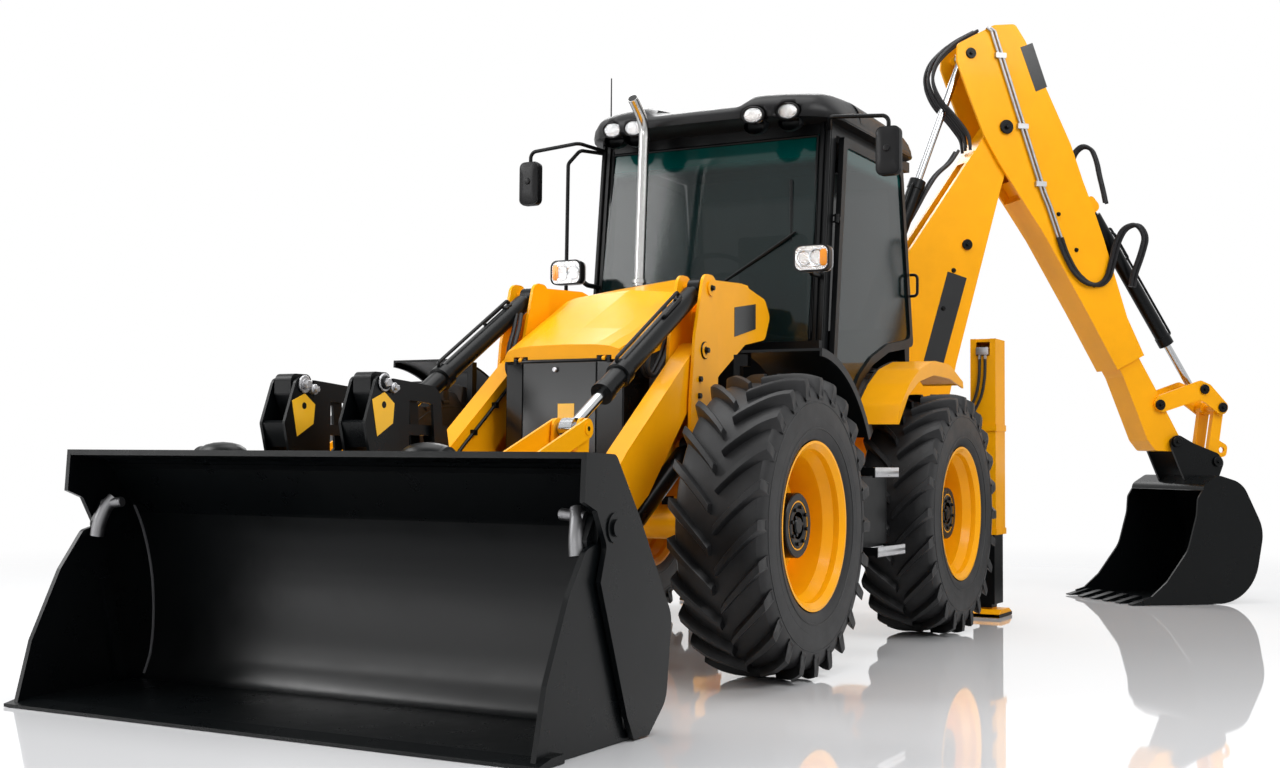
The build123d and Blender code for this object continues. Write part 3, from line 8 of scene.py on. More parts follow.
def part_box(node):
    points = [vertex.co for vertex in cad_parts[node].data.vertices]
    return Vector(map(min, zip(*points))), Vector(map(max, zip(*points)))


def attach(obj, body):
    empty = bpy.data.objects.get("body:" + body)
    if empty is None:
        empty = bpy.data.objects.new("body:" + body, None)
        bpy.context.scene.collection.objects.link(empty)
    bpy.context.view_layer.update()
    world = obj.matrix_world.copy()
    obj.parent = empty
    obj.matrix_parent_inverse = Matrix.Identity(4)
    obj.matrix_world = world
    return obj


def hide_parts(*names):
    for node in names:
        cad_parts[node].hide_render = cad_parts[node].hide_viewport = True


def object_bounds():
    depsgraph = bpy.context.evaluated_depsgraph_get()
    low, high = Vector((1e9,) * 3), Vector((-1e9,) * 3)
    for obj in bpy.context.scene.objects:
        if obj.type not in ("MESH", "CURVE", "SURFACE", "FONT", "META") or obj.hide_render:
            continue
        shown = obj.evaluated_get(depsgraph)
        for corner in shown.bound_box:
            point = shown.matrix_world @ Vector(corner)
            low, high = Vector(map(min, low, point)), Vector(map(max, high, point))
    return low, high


# Loading the frame, and the way from the machine's own measures to its frame

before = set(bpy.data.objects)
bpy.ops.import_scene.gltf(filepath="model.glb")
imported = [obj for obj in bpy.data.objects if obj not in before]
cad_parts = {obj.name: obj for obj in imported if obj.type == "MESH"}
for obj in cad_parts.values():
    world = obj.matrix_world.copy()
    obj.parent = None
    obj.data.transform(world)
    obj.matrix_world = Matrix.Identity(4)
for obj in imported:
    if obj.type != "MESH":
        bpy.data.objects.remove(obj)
cad_low, cad_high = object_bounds()

WHEELBASE = 2.218
WHEEL_Y = 1.0
TYRE_R = 0.685

tyre_low, tyre_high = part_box("tyre_front_left")
tyre_centre = (tyre_low + tyre_high) / 2
ORIGIN = tyre_centre - Vector((WHEELBASE, WHEEL_Y, TYRE_R))


def at(x, y, z):
    """A place measured from the ground under the rear axle, in metres."""
    return ORIGIN + Vector((x, y, z))


# The camera, solved from the photograph's wheels, cab and bucket

CAMERA_PLACE = (8.6908, 3.8146, 0.9663)
CAMERA_YAW = math.radians(28.527)
CAMERA_PITCH = math.radians(2.864)
CAMERA_ROLL = math.radians(0.483)
SENSOR = 36.0
FOCAL = 1548.86 / 1280 * SENSOR

ahead = Vector((-math.cos(CAMERA_YAW) * math.cos(CAMERA_PITCH),
                -math.sin(CAMERA_YAW) * math.cos(CAMERA_PITCH), math.sin(CAMERA_PITCH)))
level = ahead.cross(Vector((0, 0, 1))).normalized()
rise = level.cross(ahead)
right = math.cos(CAMERA_ROLL) * level + math.sin(CAMERA_ROLL) * rise
up = -math.sin(CAMERA_ROLL) * level + math.cos(CAMERA_ROLL) * rise

camera_data = bpy.data.cameras.new("camera")
camera_data.lens = FOCAL
camera_data.sensor_width = SENSOR
camera_data.clip_end = 200
camera = bpy.data.objects.new("camera", camera_data)
bpy.context.collection.objects.link(camera)
turned = Matrix((right, up, -ahead)).transposed().to_4x4()
camera.matrix_world = Matrix.Translation(at(*CAMERA_PLACE)) @ turned
bpy.context.scene.camera = camera
bpy.context.scene.view_settings.view_transform = "Standard"

# Studio: pale floor, white surroundings and soft lamps


def fed(tree, node, inputs):
    """Gives each input its value, or a link from another node's socket."""
    for name, value in inputs.items():
        if isinstance(value, bpy.types.NodeSocket):
            tree.links.new(value, node.inputs[name])
        else:
            node.inputs[name].default_value = value
    return node


def new_node(tree, kind, inputs):
    return fed(tree, tree.nodes.new("ShaderNode" + kind), inputs)


def object_place(tree):
    return new_node(tree, "TexCoord", {}).outputs["Object"]


def object_height(tree):
    return new_node(tree, "SeparateXYZ", {"Vector": object_place(tree)}).outputs["Z"]


def calculated(tree, operation, first, second, clamped=False):
    node = new_node(tree, "Math", {0: first, 1: second})
    node.operation = operation
    node.use_clamp = clamped
    return node.outputs["Value"]


def smooth_step(tree, value, low, high):
    """Rises smoothly from 0 at the low value to 1 at the high one."""
    node = new_node(tree, "MapRange", {"Value": value, "From Min": low, "From Max": high})
    node.interpolation_type = "SMOOTHSTEP"
    return node.outputs["Result"]


def new_material(name):
    material = bpy.data.materials.new(name)
    material.use_nodes = True
    tree = material.node_tree
    return material, tree, tree.nodes["Principled BSDF"]


FLOOR_HALF = 60.0
FLOOR_DROP = 0.002
FADE_START, FADE_END = 5.5, 11.0
floor_mesh = bpy.data.meshes.new("studio_floor")
floor_corners = [(x * FLOOR_HALF, y * FLOOR_HALF, 0) for x, y in ((-1, -1), (1, -1), (1, 1), (-1, 1))]
floor_mesh.from_pydata(floor_corners, [], [(0, 1, 2, 3)])
floor = bpy.data.objects.new("studio_floor", floor_mesh)
bpy.context.collection.objects.link(floor)
floor.location.z = cad_low.z - FLOOR_DROP
material, tree, shader = new_material("studio_floor")
fed(tree, shader, {"Base Color": (0.8, 0.8, 0.805, 1), "Roughness": 0.03, "Specular IOR Level": 0.8})
distance = new_node(tree, "VectorMath", {0: object_place(tree)})
distance.operation = "LENGTH"
fade = smooth_step(tree, distance.outputs["Value"], FADE_START, FADE_END)
rays = new_node(tree, "LightPath", {}).outputs
seen = calculated(tree, "MULTIPLY", fade, rays["Is Camera Ray"])
white = new_node(tree, "Emission", {}).outputs["Emission"]
mix = new_node(tree, "MixShader", {"Fac": seen, 1: shader.outputs["BSDF"], 2: white})
fed(tree, tree.nodes["Material Output"], {"Surface": mix.outputs["Shader"]})
floor_mesh.materials.append(material)

# The world lights the machine softly, and shows white to the camera and in reflections
world = bpy.data.worlds.new("studio")
bpy.context.scene.world = world
world.use_nodes = True
sky = world.node_tree
dim = fed(sky, sky.nodes["Background"], {"Color": (0.9, 0.93, 1.0, 1), "Strength": 0.3}).outputs[0]
white = new_node(sky, "Background", {"Color": (1, 1, 1, 1), "Strength": 1.0}).outputs["Background"]
rays = new_node(sky, "LightPath", {}).outputs
seen = calculated(sky, "ADD", rays["Is Camera Ray"], rays["Is Glossy Ray"])
seen = calculated(sky, "ADD", seen, rays["Is Transmission Ray"], True)
mix = new_node(sky, "MixShader", {"Fac": seen, 1: dim, 2: white})
fed(sky, sky.nodes["World Output"], {"Surface": mix.outputs["Shader"]})

LAMPS = [
    # name, place, target, width, height, watts
    ("key", (6.0, -8.0, 7.5), (1.5, 0.0, 1.0), 5.0, 4.0, 400),
    ("side", (3.5, 8.0, 7.5), (1.0, 0.5, 1.0), 7.0, 3.5, 600),
    ("front_low", (10.5, 1.0, 2.6), (3.5, 0.0, 0.6), 5.0, 1.0, 90),
    ("floor_strip", (9.3, -4.4, 1.2), (3.8, 0.0, 0.35), 5.0, 0.7, 75),
    ("screen_strip", (6.5, -4.6, 4.2), (1.0, -0.6, 2.2), 1.8, 3.4, 150),
    ("top", (2.0, 0.0, 9.0), (1.0, 0.0, 0.0), 8.0, 6.0, 500),
    ("rear", (-7.0, -4.0, 7.5), (-1.5, 0.0, 1.5), 5.0, 4.0, 300),
]
for name, place, target, width, height, watts in LAMPS:
    lamp_data = bpy.data.lights.new(name, "AREA")
    lamp_data.shape = "RECTANGLE"
    lamp_data.size = width
    lamp_data.size_y = height
    lamp_data.energy = watts
    lamp = bpy.data.objects.new(name, lamp_data)
    bpy.context.collection.objects.link(lamp)
    lamp.location = at(*place)
    lamp.rotation_mode = "QUATERNION"
    lamp.rotation_quaternion = (at(*target) - at(*place)).to_track_quat("-Z", "Y")

# Materials


def noise(tree, scale, detail=4.0, rough=0.5):
    inputs = {"Scale": scale, "Detail": detail, "Roughness": rough, "Vector": object_place(tree)}
    return new_node(tree, "TexNoise", inputs).outputs["Fac"]


def tinted(colour, factor):
    return tuple(min(1.0, c * factor) for c in colour)


def ramp(tree, value, colour, *stops):
    """Tones of a colour over a value, from two stops of (place, factor)."""
    node = new_node(tree, "ValToRGB", {"Fac": value})
    for element, (place, factor) in zip(node.color_ramp.elements, stops):
        element.position = place
        element.color = (*tinted(colour, factor), 1)
    return node.outputs["Color"]


def spread(tree, value, low, high):
    return new_node(tree, "MapRange", {"Value": value, "To Min": low, "To Max": high}).outputs["Result"]


def bump(tree, height, strength, distance):
    inputs = {"Height": height, "Strength": strength, "Distance": distance}
    return new_node(tree, "Bump", inputs).outputs["Normal"]


def paint(name, colour, rough, coat, orange_peel=0.03, dust=0.1, shine=0.5):
    """Sprayed enamel: faint tone changes, uneven gloss and a fine orange peel."""
    material, tree, shader = new_material(name)
    tone = noise(tree, 1.7, 6.0, 0.62)
    fed(tree, shader, {
        "Specular IOR Level": shine,
        "Base Color": ramp(tree, tone, colour, (0.3, 1 - dust), (0.7, 1 + dust * 0.4)),
        "Roughness": spread(tree, noise(tree, 9.0, 5.0, 0.6), rough * 0.8, rough * 1.25),
        "Coat Weight": coat,
        "Coat Roughness": 0.08,
        "Normal": bump(tree, noise(tree, 260.0, 2.0), orange_peel, 0.002),
    })
    return material


def metal(name, colour, rough, streak=60.0):
    """Bare or plated metal with fine streaks in its gloss."""
    material, tree, shader = new_material(name)
    fed(tree, shader, {
        "Metallic": 1.0,
        "Base Color": ramp(tree, noise(tree, streak, 6.0, 0.7), colour, (0.25, 0.85), (0.75, 1)),
        "Roughness": spread(tree, noise(tree, streak * 2, 4.0), rough * 0.7, rough * 1.4),
        "Normal": bump(tree, noise(tree, streak * 6, 3.0), 0.04, 0.001),
    })
    return material


def plastic(name, colour, rough, grain=900.0):
    """Moulded plastic with a fine leather-like grain."""
    material, tree, shader = new_material(name)
    fed(tree, shader, {
        "Specular IOR Level": 0.16,
        "Base Color": ramp(tree, noise(tree, 4.0, 5.0), colour, (0.3, 0.8), (0.7, 1.15)),
        "Roughness": spread(tree, noise(tree, 15.0), rough * 0.85, rough * 1.15),
        "Normal": bump(tree, noise(tree, grain, 2.0), 0.12, 0.0008),
    })
    return material


def rubber(name, colour, rough, mark=30.0):
    """Tyre and hose rubber, greyed by use in patches."""
    material, tree, shader = new_material(name)
    fed(tree, shader, {
        "Specular IOR Level": 0.28,
        "Base Color": ramp(tree, noise(tree, mark, 8.0, 0.7), colour, (0.35, 1), (0.65, 1.7)),
        "Roughness": spread(tree, noise(tree, mark * 0.4, 5.0), rough * 0.8, min(1.0, rough * 1.2)),
        "Normal": bump(tree, noise(tree, mark * 14, 3.0), 0.15, 0.001),
    })
    return material


def fabric(name, colour, pitch=700.0):
    """Woven seat cloth."""
    material, tree, shader = new_material(name)
    inputs = {"Scale": pitch, "Distortion": 0.6, "Vector": object_place(tree)}
    wave = new_node(tree, "TexWave", inputs).outputs["Fac"]
    fed(tree, shader, {
        "Base Color": ramp(tree, wave, colour, (0.2, 0.6), (0.8, 1.3)),
        "Roughness": 0.95,
        "Sheen Weight": 0.4,
        "Normal": bump(tree, wave, 0.4, 0.0008),
    })
    return material


def glass(name, colour, alpha, rough=0.03):
    """Tinted pane: part clear, part dark, with a faint film of dust."""
    material, tree, shader = new_material(name)
    fed(tree, shader, {
        "Base Color": ramp(tree, noise(tree, 2.2, 4.0), colour, (0.3, 0.8), (0.7, 1.2)),
        "Roughness": spread(tree, noise(tree, 5.0), rough * 0.6, rough * 1.8),
        "Alpha": alpha,
        "Specular IOR Level": 0.36,
    })
    return material


def own_colour(tree):
    return tree.nodes["Principled BSDF"].inputs["Base Color"].links[0].from_socket


def mixed(tree, share, low, high):
    """Gives the shader the low colour where the share is 0 and the high one where it is 1."""
    mix = tree.nodes.new("ShaderNodeMix")
    mix.data_type = "RGBA"
    fed(tree, mix, {0: share, 6: low, 7: high})
    fed(tree, tree.nodes["Principled BSDF"], {"Base Color": mix.outputs[2]})


def banded_glass(name, colour, band, alpha, rough):
    """Dark tinted pane with the green sun band along its top."""
    material = glass(name, colour, alpha, rough)
    tree = material.node_tree
    fade = smooth_step(tree, object_height(tree), BAND_LOW, BAND_HIGH)
    mixed(tree, fade, own_colour(tree), (*band, 1))
    fed(tree, tree.nodes["Principled BSDF"], {"Alpha": spread(tree, fade, alpha, 0.97)})
    return material


def footed(name, upper, lower, edge):
    """One finish above a height and another below it, for a leg with a painted foot."""
    material = upper.copy()
    material.name = name
    tree = material.node_tree
    above = calculated(tree, "GREATER_THAN", object_height(tree), edge)
    mixed(tree, above, (*lower, 1), own_colour(tree))
    return material


def facets_with_painted_glints(name, colour, scale):
    """Bright lamp reflector behind a moulded cover: small bumped cells, each painted brighter in its middle
    and darker at its edge, as painted highlights and painted shade.
    """
    material, tree, shader = new_material(name)
    cells = new_node(tree, "TexVoronoi", {"Scale": scale, "Vector": object_place(tree)}).outputs["Distance"]
    fed(tree, shader, {
        # Painted highlight in each cell's middle, fading to painted shade at its edge
        "Base Color": ramp(tree, cells, colour, (0.1, 1.0), (0.8, 0.45)),
        "Metallic": 0.85,
        "Roughness": 0.12,
        "Coat Weight": 1.0,
        "Normal": bump(tree, cells, 0.9, 0.004),
    })
    return material


YELLOW = (0.94, 0.4, 0.003)
BAND_LOW, BAND_HIGH = 2.60, 2.66
FOOT_EDGE = 0.055
M = {
    "yellow": paint("yellow_paint", YELLOW, 0.3, 0.08, 0.03, 0.1, 0.14),
    "black": paint("black_paint", (0.002, 0.0026, 0.003), 0.28, 0.0, 0.03, 0.25, 0.15),
    "wear_black": paint("wear_plate_paint", (0.0015, 0.002, 0.0024), 0.3, 0.0, 0.02, 0.25, 0.3),
    "gloss_black": paint("gloss_black_paint", (0.003, 0.0036, 0.0042), 0.24, 0.0, 0.015, 0.2, 0.45),
    "satin_black": paint("satin_black_paint", (0.0026, 0.003, 0.0034), 0.34, 0.0, 0.05, 0.25, 0.14),
    "dark_plastic": plastic("dark_plastic", (0.006, 0.006, 0.0065), 0.36),
    "chrome": metal("chrome", (0.5, 0.51, 0.52), 0.14),
    "exhaust": metal("exhaust_tube", (0.5, 0.5, 0.49), 0.2),
    "steel": metal("worn_steel", (0.42, 0.42, 0.43), 0.38, 30.0),
    "aluminium": metal("step_aluminium", (0.72, 0.72, 0.73), 0.3, 30.0),
    "casting": paint("grey_casting", (0.09, 0.09, 0.095), 0.6, 0.0, 0.25, 0.3),
    "bare_casting": metal("bare_casting", (0.2, 0.2, 0.205), 0.42, 30.0),
    "tyre": rubber("tyre_rubber", (0.0065, 0.0065, 0.007), 0.46),
    "hose": rubber("hose_rubber", (0.012, 0.012, 0.013), 0.5, 60.0),
    "glass": banded_glass("tinted_glass", (0.004, 0.012, 0.012), (0.0, 0.04, 0.036), 0.72, 0.07),
    "seat": fabric("seat_cloth", (0.05, 0.05, 0.055)),
    "lens": glass("lamp_lens", (0.85, 0.87, 0.9), 0.35, 0.05),
    "mirror": metal("mirror_glass", (0.75, 0.77, 0.8), 0.03, 12.0),
    "reflector": facets_with_painted_glints("lamp_reflector", (0.86, 0.87, 0.88), 190.0),
    "amber": glass("amber_lens", (0.9, 0.3, 0.02), 0.95, 0.1),
    "label_yellow": paint("blank_label", (0.95, 0.5, 0.01), 0.4, 0.2, 0.01),
}
M["stabiliser"] = footed("stabiliser_leg", M["satin_black"], YELLOW, FOOT_EDGE)

CORNERS = ["front_left", "front_right", "rear_left", "rear_right"]
NODE_FINISH = {
    "yellow": ["chassis_frame", "bonnet", "side_panels", "rear_fenders", "rear_frame", "loader_arms",
               "bellcranks",
               "bucket_links", "sideshift_carriage", "kingpost", "boom", "dipper", "inner_dipper",
               "tipping_lever",
               "bucket_link", "axles", *["rim_" + corner for corner in CORNERS]],
    "black": ["front_bucket", "clam_jaw", "backhoe_bucket", "grille", "lift_ram_barrels",
              "tilt_ram_barrels",
              "boom_ram_barrel", "dipper_ram_barrel", "bucket_ram_barrel"],
    "steel": ["dipper_pipes"],
    "satin_black": ["cab_frame", "door_left", "door_right", "flip_forks", "tank_and_steps",
                    *["knuckle_" + corner for corner in CORNERS], "cab_roof"],
    "stabiliser": ["stabiliser_left", "stabiliser_right"],
    "dark_plastic": ["cab_controls"],
    "chrome": ["lift_ram_rods", "tilt_ram_rods", "boom_ram_rod", "dipper_ram_rod", "bucket_ram_rod"],
    "exhaust": ["exhaust"],
    "casting": ["engine_block"],
    "tyre": ["tyre_" + corner for corner in CORNERS],
    "glass": ["cab_glass", "door_left_glass", "door_right_glass"],
    "seat": ["seat_cushions"],
    "lens": ["lamps"],
}
for finish, nodes in NODE_FINISH.items():
    for node in nodes:
        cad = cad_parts[node]
        cad.data.materials.clear()
        cad.data.materials.append(M[finish])

# Shapes: plain functions that give vertices and faces in the machine's own measures


def joined(*shapes):
    vertices, faces = [], []
    for shape_vertices, shape_faces in shapes:
        start = len(vertices)
        vertices += shape_vertices
        faces += [tuple(start + i for i in face) for face in shape_faces]
    return vertices, faces


def shifted(shape, place):
    return [tuple(Vector(vertex) + Vector(place)) for vertex in shape[0]], shape[1]


def flipped(shape):
    """The same shape on the machine's other side."""
    return [(x, -y, z) for x, y, z in shape[0]], [tuple(reversed(face)) for face in shape[1]]


def ring_faces(rings, count, closed=False):
    """Faces from each ring of count vertices to the next, and from the last to the first if closed."""
    faces = []
    for ring in range(rings if closed else rings - 1):
        after = (ring + 1) % rings
        for i in range(count):
            k = (i + 1) % count
            faces.append((ring * count + i, ring * count + k, after * count + k, after * count + i))
    return faces


def frame_of(direction):
    """The direction at length 1, and two more square to it and to each other."""
    along = Vector(direction).normalized()
    helper = Vector((0, 0, 1)) if abs(along.z) < 0.9 else Vector((1, 0, 0))
    across = along.cross(helper).normalized()
    return along, across, across.cross(along)


def spun(profile, place, direction, sides=32):
    """A lathe shape from (radius, height) points along a direction. An end on the axis closes by itself."""
    along, across, over = frame_of(direction)
    vertices = []
    for radius, height in profile:
        for i in range(sides):
            turn = 2 * math.pi * i / sides
            spoke = across * math.cos(turn) + over * math.sin(turn)
            vertices.append(tuple(Vector(place) + along * height + spoke * radius))
    return vertices, ring_faces(len(profile), sides)


def disc_head(place, direction, radius, height, sides=28):
    """A pin's or washer's end with a broken edge."""
    edge = min(0.003, height * 0.4)
    profile = [(radius, 0), (radius, height - edge), (radius - edge, height), (0.0, height)]
    return spun(profile, place, direction, sides)


def bolt(place, direction, size):
    """A hexagon head on its washer, as wide over the flats as size."""
    flats = size / math.sqrt(3)
    washer = disc_head(place, direction, size * 0.72, size * 0.1, 18)
    top = Vector(place) + Vector(direction).normalized() * size * 0.08
    profile = [(flats, 0), (flats, size * 0.5), (flats * 0.86, size * 0.6), (0.0, size * 0.6)]
    head = spun(profile, top, direction, 6)
    return joined(washer, head)


def block(low, high, edge=0.004):
    """A box with broken edges, from its lowest to its highest corner."""
    x0, y0, z0 = low
    x1, y1, z1 = high
    edge = min(edge, (x1 - x0) / 3, (y1 - y0) / 3, (z1 - z0) / 3)
    mesh = bmesh.new()
    bmesh.ops.create_cube(mesh, size=1.0)
    for vertex in mesh.verts:
        vertex.co = ((vertex.co.x + 0.5) * (x1 - x0) + x0, (vertex.co.y + 0.5) * (y1 - y0) + y0,
                     (vertex.co.z + 0.5) * (z1 - z0) + z0)
    bmesh.ops.bevel(mesh, geom=mesh.edges[:], offset=edge, segments=2, affect="EDGES", profile=0.6)
    vertices = [tuple(vertex.co) for vertex in mesh.verts]
    faces = [tuple(vertex.index for vertex in face.verts) for face in mesh.faces]
    mesh.free()
    return vertices, faces


def sheet_plate(outline, place, across, over, thick, edge=0.002):
    """A flat plate: outline of (across, over) points, thickened along their normal."""
    across, over = Vector(across).normalized(), Vector(over).normalized()
    normal = across.cross(over)
    centre = Vector((sum(p[0] for p in outline), sum(p[1] for p in outline))) / len(outline)
    rings = []
    for height, inset in ((0, 0), (thick - edge, 0), (thick, edge)):
        ring = []
        for a, b in outline:
            pull = (centre - Vector((a, b))).normalized() * inset
            ring.append(tuple(Vector(place) + across * (a + pull.x) + over * (b + pull.y) + normal * height))
        rings.append(ring)
    count = len(outline)
    faces = [tuple(reversed(range(count))), tuple(range(2 * count, 3 * count))]
    return rings[0] + rings[1] + rings[2], faces + ring_faces(3, count)


def rounded_way(points, radius, steps=6):
    """The points with each corner turned into an arc that starts and ends on its two runs."""
    points = [Vector(point) for point in points]
    way = [points[0]]
    for before, corner, after in zip(points, points[1:], points[2:]):
        first, second = (before - corner), (after - corner)
        reach = min(radius, first.length * 0.48, second.length * 0.48)
        start, end = corner + first.normalized() * reach, corner + second.normalized() * reach
        for i in range(steps + 1):
            t = i / steps
            way.append(start * (1 - t) ** 2 + corner * 2 * t * (1 - t) + end * t ** 2)
    way.append(points[-1])
    return way


def tube(points, radius, bend=0.06, sides=12, ribs=0.0, pitch=0.006):
    """A round hose or pipe along a route; ribs give a corrugated hose."""
    way = rounded_way(points, bend)
    if ribs:
        fine = [way[0]]
        for a, b in zip(way, way[1:]):
            count = max(1, round((b - a).length / (pitch / 2)))
            fine += [a.lerp(b, (i + 1) / count) for i in range(count)]
        way = fine
    vertices = []
    side = None
    for i, point in enumerate(way):
        tangent = (way[min(i + 1, len(way) - 1)] - way[max(i - 1, 0)]).normalized()
        if side is None:
            side = frame_of(tangent)[1]
        side = (side - tangent * side.dot(tangent)).normalized()
        other = tangent.cross(side)
        width = radius * (1 + ribs * (i % 2))
        for k in range(sides):
            turn = 2 * math.pi * k / sides
            vertices.append(tuple(point + (side * math.cos(turn) + other * math.sin(turn)) * width))
    caps = [tuple(reversed(range(sides))), tuple(range(len(vertices) - sides, len(vertices)))]
    return vertices, ring_faces(len(way), sides) + caps


SIDES = [("left", 1), ("right", -1)]
MERGE = 0.00002


def add(name, shape, finish, body="chassis", smooth=35.0):
    """Makes the piece from a shape or a list of them, with its finish, and lets it ride on its body."""
    vertices, faces = joined(*shape) if isinstance(shape, list) else shape
    mesh = bpy.data.meshes.new(name)
    mesh.from_pydata([tuple(at(*vertex)) for vertex in vertices], [], faces)
    clean = bmesh.new()
    clean.from_mesh(mesh)
    bmesh.ops.remove_doubles(clean, verts=clean.verts[:], dist=MERGE)
    bmesh.ops.recalc_face_normals(clean, faces=clean.faces[:])
    clean.to_mesh(mesh)
    clean.free()
    mesh.materials.append(M[finish])
    piece = bpy.data.objects.new(name, mesh)
    bpy.context.collection.objects.link(piece)
    mesh.shade_smooth()
    mesh.set_sharp_from_angle(angle=math.radians(smooth))
    if body:
        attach(piece, body)
    return piece


# Tyres: carcass, chevron lugs and sidewall rings

LUGS = 24
RIM_R = 0.381
GROOVE_R = 0.642
LUG_INNER_Y, LUG_OUTER_Y = 0.012, 0.2085
LUG_SWEEP = math.radians(17.0)
LUG_STATIONS = 9
CARCASS = [
    # radius, distance from the middle plane
    (RIM_R + 0.001, 0.165), (RIM_R + 0.003, 0.19), (0.397, 0.2), (0.43, 0.2075), (0.47, 0.2105),
           (0.52, 0.2105),
    (0.56, 0.208), (0.59, 0.203), (0.612, 0.196), (0.628, 0.184), (0.637, 0.16), (GROOVE_R, 0.12),
    (GROOVE_R + 0.002, 0.06), (GROOVE_R + 0.003, 0.0),
]
SIDE_RINGS = [
    # radius, half width, height over the sidewall
    (0.436, 0.003, 0.0012), (0.478, 0.002, 0.0014), (0.553, 0.0025, 0.001),
]


def carcass(sides=144):
    outer = CARCASS + [(radius, -y) for radius, y in reversed(CARCASS[:-1])]
    inner = [(RIM_R + 0.001, -0.15), (0.5, -0.19), (0.61, -0.16), (0.62, 0.0), (0.61, 0.16), (0.5, 0.19),
             (RIM_R + 0.001, 0.15)]
    loop = outer + inner
    vertices = []
    for radius, y in loop:
        for i in range(sides):
            turn = 2 * math.pi * i / sides
            vertices.append((radius * math.sin(turn), y, radius * math.cos(turn)))
    return vertices, ring_faces(len(loop), sides, True)


def lug(turn, side):
    """One bar from the middle plane out over the shoulder and down the sidewall."""
    stations = []
    for i in range(LUG_STATIONS):
        t = i / (LUG_STATIONS - 1)
        y = LUG_INNER_Y + t * (LUG_OUTER_Y - LUG_INNER_Y)
        top = TYRE_R - 0.001 - 0.018 * max(0.0, (t - 0.55) / 0.45) ** 2
        stations.append((y, top, GROOVE_R - 0.01 - 0.045 * max(0.0, (t - 0.75) / 0.25) ** 2, t, 0.0))
    for i in range(1, 4):
        drop = i / 3
        stations.append((0.2088 + 0.0035 * math.sin(drop * math.pi), 0.664 - 0.062 * drop,
                         0.585 - 0.02 * drop,
                         1.0 + 0.02 * drop, drop))
    vertices = []
    for y, top, base, t, drop in stations:
        centre = turn - LUG_SWEEP * (t ** 0.92)
        half_top = (0.0165 + 0.006 * t) * (1 - 0.25 * drop)
        half_base = half_top + 0.0105
        ring = [(-half_base, base), (-half_top - 0.002, top - 0.007), (-half_top + 0.004, top),
                (half_top - 0.004, top), (half_top + 0.002, top - 0.007), (half_base, base)]
        for offset, radius in ring:
            angle = centre + offset / TYRE_R
            vertices.append((radius * math.sin(angle), side * y, radius * math.cos(angle)))
    caps = [tuple(range(6)), tuple(range(len(vertices) - 6, len(vertices)))]
    return vertices, ring_faces(len(stations), 6) + caps


def side_ring(radius, half, height, side, sides=144):
    y = 0.2095
    profile = [(radius - half * 2, y - 0.004), (radius - half, y + height), (radius + half, y + height),
               (radius + half * 2, y - 0.004)]
    return spun(profile, (0, 0, 0), (0, side, 0), sides)


def tyre():
    shapes = [carcass()]
    for side in (1, -1):
        shift = 0.0 if side > 0 else 0.5
        shapes += [lug(2 * math.pi * (i + shift) / LUGS, side) for i in range(LUGS)]
        shapes += [side_ring(radius, half, height, side) for radius, half, height in SIDE_RINGS]
    return joined(*shapes)


WHEELS = [
    # name, x of the axle, side
    ("front_left", WHEELBASE, 1), ("front_right", WHEELBASE, -1), ("rear_left", 0.0, 1),
          ("rear_right", 0.0, -1),
]
HUB_FACE = 0.108
CAP_PROFILE = [
    # radius, distance from the wheel's middle plane
    (0.147, -0.012), (0.147, 0.05), (0.1225, 0.09), (0.1225, HUB_FACE - 0.012), (0.118, HUB_FACE - 0.004),
    (0.108, HUB_FACE - 0.002), (0.104, HUB_FACE + 0.003), (0.098, HUB_FACE + 0.005),
               (0.07, HUB_FACE + 0.005),
    (0.062, HUB_FACE + 0.002), (0.04, HUB_FACE + 0.002), (0.034, HUB_FACE + 0.008), (0.0, HUB_FACE + 0.008),
]


def circle_places(middle, count, first_turn, radius, out_y):
    """Places evenly round a wheel's axle."""
    places = []
    for i in range(count):
        turn = 2 * math.pi * i / count + first_turn
        places.append(middle + Vector((radius * math.cos(turn), out_y, radius * math.sin(turn))))
    return places


tyre_shape = tyre()
for name, x, side in WHEELS:
    middle = Vector((x, side * WHEEL_Y, TYRE_R))
    placed = shifted(tyre_shape if side > 0 else flipped(tyre_shape), (x, side * WHEEL_Y, TYRE_R))
    piece = add("tread_" + name, placed, "tyre", "wheel_" + name, 28.0)
    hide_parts("tyre_" + name)
    out = (0, side, 0)
    cap = [spun(CAP_PROFILE, middle, out, 48)]
    cap += [bolt(place, out, 0.017)
            for place in circle_places(middle, 8, 0.2, 0.084, side * (HUB_FACE + 0.004))]
    cap += [disc_head(place, out, 0.009, 0.006, 16)
            for place in circle_places(middle, 3, 0.9, 0.045, side * (HUB_FACE + 0.001))]
    add("hub_cap_" + name, cap, "black", "wheel_" + name)

# Pins: a disc and a bolt on both ends of each pin that shows

HOE_X = -1.43
HOE_COS = math.cos(math.radians(47))
HOE_SIN = math.sin(math.radians(47))
PIN_HEAD = 0.012


def hoe(reach, y, z):
    """A place of the backhoe: reach from the slew axis, y to its own left, height."""
    return (HOE_X - reach * HOE_COS + y * HOE_SIN, reach * HOE_SIN + y * HOE_COS, z)


def straight(x, y, z):
    return (x, y, z)


def pin_heads(place_of, across, reach, z, face_y, radius, bolt_share):
    """A disc with its bolt on both ends of a pin, at places that place_of gives from (reach, y, z)."""
    heads = []
    for side in (1, -1):
        out = Vector(across) * side
        heads.append(disc_head(place_of(reach, side * face_y, z), out, radius, PIN_HEAD, 36))
        heads.append(bolt(place_of(reach, side * (face_y + PIN_HEAD), z), out, radius * bolt_share))
    return heads


